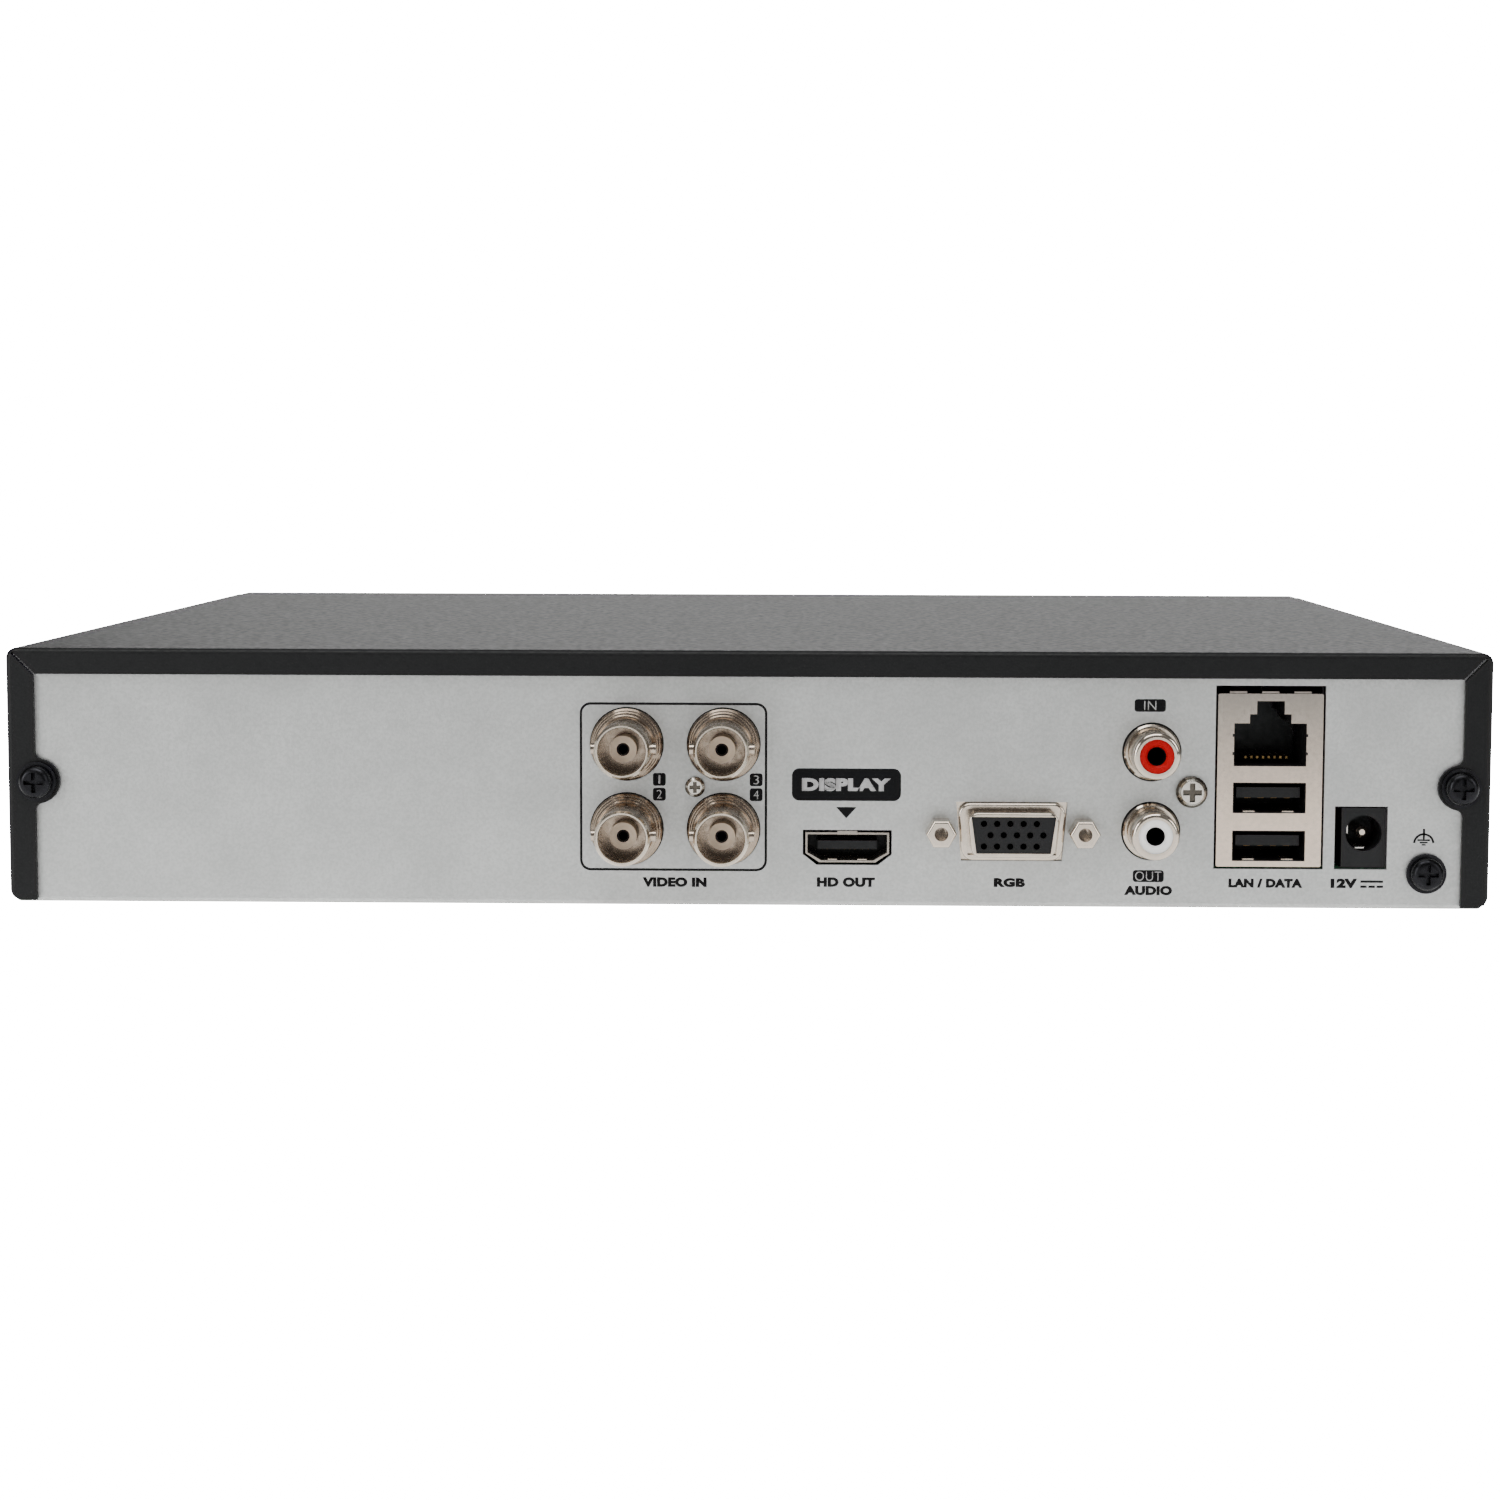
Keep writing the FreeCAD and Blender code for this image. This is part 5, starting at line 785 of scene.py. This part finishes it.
def small_part(name, made, materials, body, bevel=0.0, place=Matrix.Identity(4)):
    """Makes a piece of a finished mesh, on its body and with its materials; bevel is in millimetres."""
    piece = mesh_piece(name, made, place)
    for material in materials:
        piece.data.materials.append(material)
    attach(piece, body)
    if bevel:
        modifier = piece.modifiers.new("soft_edges", "BEVEL")
        modifier.width = bevel * MM
        modifier.segments = 2
        modifier.limit_method = "ANGLE"


def socket_springs(materials):
    """Contact strips in the video and data sockets, and the springs in the power inlet."""
    made = bmesh.new()
    port = middle("hd_port_core")
    face = high("hd_port_shell").y
    for i in range(10):
        block(made, (port.x + (i - 4.5) * MM, face - 6 * MM, BOARD_TOP + 2.64 * MM),
              (0.45 * MM, 7 * MM, 0.16 * MM))
    for dx in (-2.6, 2.6):
        block(made, (port.x + dx * MM, face - 1.6 * MM, BOARD_TOP + MM), (1.6 * MM, 2.2 * MM, 0.18 * MM), 1)
    stack = middle("stack_shield")
    for base in (1.2, 9.65):
        low_z = BOARD_TOP + base * MM
        for i in range(4):
            block(made, (stack.x + (i - 1.5) * 2.3 * MM, PANEL_FACE - 7 * MM, low_z + 2.47 * MM),
                  (1.1 * MM, 9 * MM, 0.14 * MM))
        for dx in (-3.4, 3.4):
            block(made, (stack.x + dx * MM, PANEL_FACE - 3 * MM, low_z + 0.16 * MM),
                  (2 * MM, 4 * MM, 0.3 * MM), 1)
    small_part("socket_contacts", made, (materials["gold_contact"], materials["shield_tin"]), "chassis",
               0.03)
    made = bmesh.new()
    pin = middle("power_pin")
    mouth = high("power_inlet").y
    block(made, (pin.x + 0.5 * MM, mouth - 4.2 * MM, pin.z - 2.7 * MM), (1.7 * MM, 6 * MM, 0.35 * MM))
    block(made, (pin.x + 2.65 * MM, mouth - 4.6 * MM, pin.z + 0.5 * MM), (0.3 * MM, 6 * MM, 1.5 * MM))
    small_part("power_springs", made, (materials["bright_steel"],), "chassis", 0.08)


def shield_notches(materials):
    """Painted shade for the latch notches beside the network socket: flat black patches on the panel."""
    made = bmesh.new()
    stack = middle("stack_shield")
    for side in (-1, 1):
        for height in (20.1, 23.3):
            block(made, (stack.x + side * 6.42 * MM, PANEL_FACE + 0.004 * MM, BOARD_TOP + height * MM),
                  (0.3 * MM, 0.03 * MM, 0.5 * MM))
    small_part("shield_notches", made, (materials["jack_black"],), "chassis")


# Nodes that stand on the mainboard and leave no room for small parts.
BUSY_NODES = ("bnc_block", "vga_core", "phono_block", "stack_shield", "power_inlet", "hd_port_core",
              "processor", "heat_sink", "cell_holder", "buzzer")


def crowded_places():
    """Rectangles on the mainboard that already hold something."""
    taken = [(low(name), high(name)) for name in BUSY_NODES]
    for name in ("board_chips", "capacitors_and_coils", "cable_headers", "board_screws"):
        taken += extents(name)
    return taken


def surface_parts(materials):
    """Resistors and capacitors in the free places of the mainboard, on a loose grid."""
    dice = random.Random(7)
    taken = crowded_places()
    start, end = low("mainboard"), high("mainboard")
    gap = 1.9 * MM
    ceramic = moulded("ceramic", (0.32, 0.22, 0.13), 0.5, 0.3, 0.006)
    made = bmesh.new()
    x = start.x + 4 * MM
    while x < end.x - 4 * MM:
        y = start.y + 4 * MM
        while y < end.y - 3 * MM:
            spot = Vector((x + dice.uniform(-0.5, 0.5) * MM, y + dice.uniform(-0.5, 0.5) * MM, 0))
            free = all(spot.x < a.x - gap or spot.x > b.x + gap or spot.y < a.y - gap or spot.y > b.y + gap
                       for a, b in taken)
            if free and dice.random() < 0.6:
                add_chip_part(made, spot, dice.random() < 0.5, dice.choice((0, 1)))
            y += 3.2 * MM
        x += 3.4 * MM
    small_part("surface_parts", made, (materials["chip_epoxy"], ceramic, materials["bright_steel"]),
               "chassis")


def add_chip_part(made, spot, turned, kind):
    """A chip resistor or capacitor: a body with two metal ends."""
    long, wide, tall = 1.6 * MM, 0.85 * MM, (0.45 + 0.25 * kind) * MM
    ends = 0.3 * MM
    rim = 0.02 * MM
    for shift, length, number, grow in ((0, long - 2 * ends, kind, 0), ((long - ends) / 2, ends, 2, rim),
                                        ((ends - long) / 2, ends, 2, rim)):
        size = [length, wide + grow, tall + grow]
        place = [spot.x + shift, spot.y, BOARD_TOP + (tall + grow) / 2]
        if turned:
            size[0], size[1] = size[1], size[0]
            place[0], place[1] = spot.x, spot.y + shift
        block(made, place, size, number)


def chip_legs(materials):
    """Rows of solder legs along the two long sides of each chip."""
    made = bmesh.new()
    pitch, wide = 0.8 * MM, 0.32 * MM
    # The leg's three runs: how far out and up its middle is, and how long and tall it is.
    runs = ((0.3, 0.5, 0.6, 0.15), (0.6, 0.29, 0.15, 0.56), (0.85, 0.08, 0.6, 0.15))
    for first, last in extents("board_chips"):
        count = int((last.y - first.y) / pitch) - 1
        for i in range(count):
            y = (first.y + last.y) / 2 + (i - (count - 1) / 2) * pitch
            for edge, side in ((first.x, -1), (last.x, 1)):
                for out, up, long, tall in runs:
                    block(made, (edge + side * out * MM, y, BOARD_TOP + up * MM),
                          (long * MM, wide, tall * MM))
    small_part("chip_legs", made, (materials["bright_steel"],), "chassis")


def board_print():
    """White outlines round the chips."""
    white = ink("board_ink", (0.75, 0.75, 0.73))
    for number, (first, last) in enumerate(extents("board_chips")):
        wide = last.x - first.x + 3.0 * MM
        tall = last.y - first.y + 1.0 * MM
        centre = (first + last) / 2
        made = bmesh.new()
        ring(made, rounded_rectangle(wide, tall, 0.3 * MM),
             rounded_rectangle(wide - 0.3 * MM, tall - 0.3 * MM, 0.15 * MM))
        thicken(made, INK_THICK)
        small_part(f"board_outline_{number}", made, (white,), "chassis",
                   place=Matrix.Translation((centre.x, centre.y, BOARD_TOP)))


def can_tops(materials):
    """A dark mark on each capacitor and coil, and the square base that a capacitor stands on."""
    made = bmesh.new()
    mark_thick = 0.06 * MM
    tallest_coil = 5 * MM
    for first, last in extents("capacitors_and_coils"):
        x, y = (first.x + last.x) / 2, (first.y + last.y) / 2
        radius = (last.x - first.x) / 2
        mark = last.z + 0.02 * MM
        if last.z < BOARD_TOP + tallest_coil:
            block(made, (x, y, mark), (radius * 0.9, radius * 0.9, mark_thick))
            continue
        block(made, (x - radius * 0.6, y, mark), (radius * 0.42, radius * 1.1, mark_thick))
        block(made, (x, y, BOARD_TOP + 0.4 * MM), (radius * 2.1, radius * 2.1, 0.8 * MM))
    small_part("can_details", made, (materials["chip_epoxy"],), "chassis")


def front_print():
    """Lamp symbols on the window: power, disk and network."""
    pale = ink("window_ink", (0.42, 0.42, 0.43))
    face = low("front_window").y
    pipes = [centre for centre, polygons in islands(nodes["light_pipes"])]
    for number, pipe in enumerate(pipes):
        made = bmesh.new()
        if number == 0:
            ring(made, rounded_rectangle(2.4 * MM, 2.4 * MM, 1.19 * MM),
                 rounded_rectangle(1.9 * MM, 1.9 * MM, 0.94 * MM))
            rectangle(made, -0.14 * MM, 1.3 * MM, 0.14 * MM, 1.95 * MM)
        elif number == 1:
            ring(made, rounded_rectangle(2.8 * MM, 2.1 * MM, 0.5 * MM),
                 rounded_rectangle(2.3 * MM, 1.6 * MM, 0.3 * MM))
            rectangle(made, -0.6 * MM, -0.2 * MM, 0.6 * MM, 0.2 * MM)
        else:
            for dx, dy in ((0, 0.8), (-1.1, -0.7), (1.1, -0.7)):
                rectangle(made, (dx - 0.4) * MM, (dy - 0.4) * MM, (dx + 0.4) * MM, (dy + 0.4) * MM)
            rectangle(made, -1.0 * MM, -0.05 * MM, 1.0 * MM, 0.15 * MM)
        print_on(f"print_lamp_{number}", made, pipe.x, face, pipe.z - 4.2 * MM, FACING_FRONT, pale)


def drive_details(materials):
    """A blank label on the drive's lid, and its screws, with painted shade for their recesses."""
    lid_low, lid_high = low("drive_lid"), high("drive_lid")
    centre = (lid_low + lid_high) / 2
    label = ink("label_paper", (0.62, 0.62, 0.6))
    print_color = ink("label_ink", (0.02, 0.02, 0.022))
    made = bmesh.new()
    block(made, (lid_low.x + 24 * MM, centre.y, lid_high.z + 0.05 * MM), (27 * MM, 56 * MM, 0.1 * MM))
    for i, wide in enumerate((20, 20, 12, 20, 16)):
        block(made, (lid_low.x + 24 * MM, centre.y + (22 - 7 * i) * MM, lid_high.z + 0.11 * MM),
              (wide * MM, 1.0 * MM, 0.03 * MM), 1)
    small_part("drive_label", made, (label, print_color), "chassis")
    made = bmesh.new()
    inset = 5 * MM
    level = lid_high.z
    for x in (lid_low.x + inset, centre.x, lid_high.x - inset):
        for y in (lid_low.y + inset * 0.8, lid_high.y - inset * 0.8):
            disc(made, Vector((x, y, level)), 2.2 * MM, 0.6 * MM, top=1.9 * MM)
            # Three thin black bars across each head: painted shade standing in for its recess.
            for turn in range(3):
                bar = bmesh.ops.create_cube(made, size=1.0)["verts"]
                bmesh.ops.scale(made, verts=bar, vec=(2.0 * MM, 0.45 * MM, 0.02 * MM))
                bmesh.ops.rotate(made, verts=bar, matrix=Matrix.Rotation(math.pi * turn / 3, 3, "Z"))
                bmesh.ops.translate(made, verts=bar, vec=(x, y, level + 0.31 * MM))
                for face in {face for vert in bar for face in vert.link_faces}:
                    face.material_index = 1
    small_part("lid_screws", made, (materials["bright_steel"], materials["jack_black"]), "chassis")


def main():
    make_camera()
    make_floor()
    make_light()
    materials = make_materials()
    dress_nodes(materials)
    panel_graphics()
    socket_springs(materials)
    phono_sleeves()
    shield_notches(materials)
    surface_parts(materials)
    chip_legs(materials)
    board_print()
    can_tops(materials)
    front_print()
    drive_details(materials)


main()
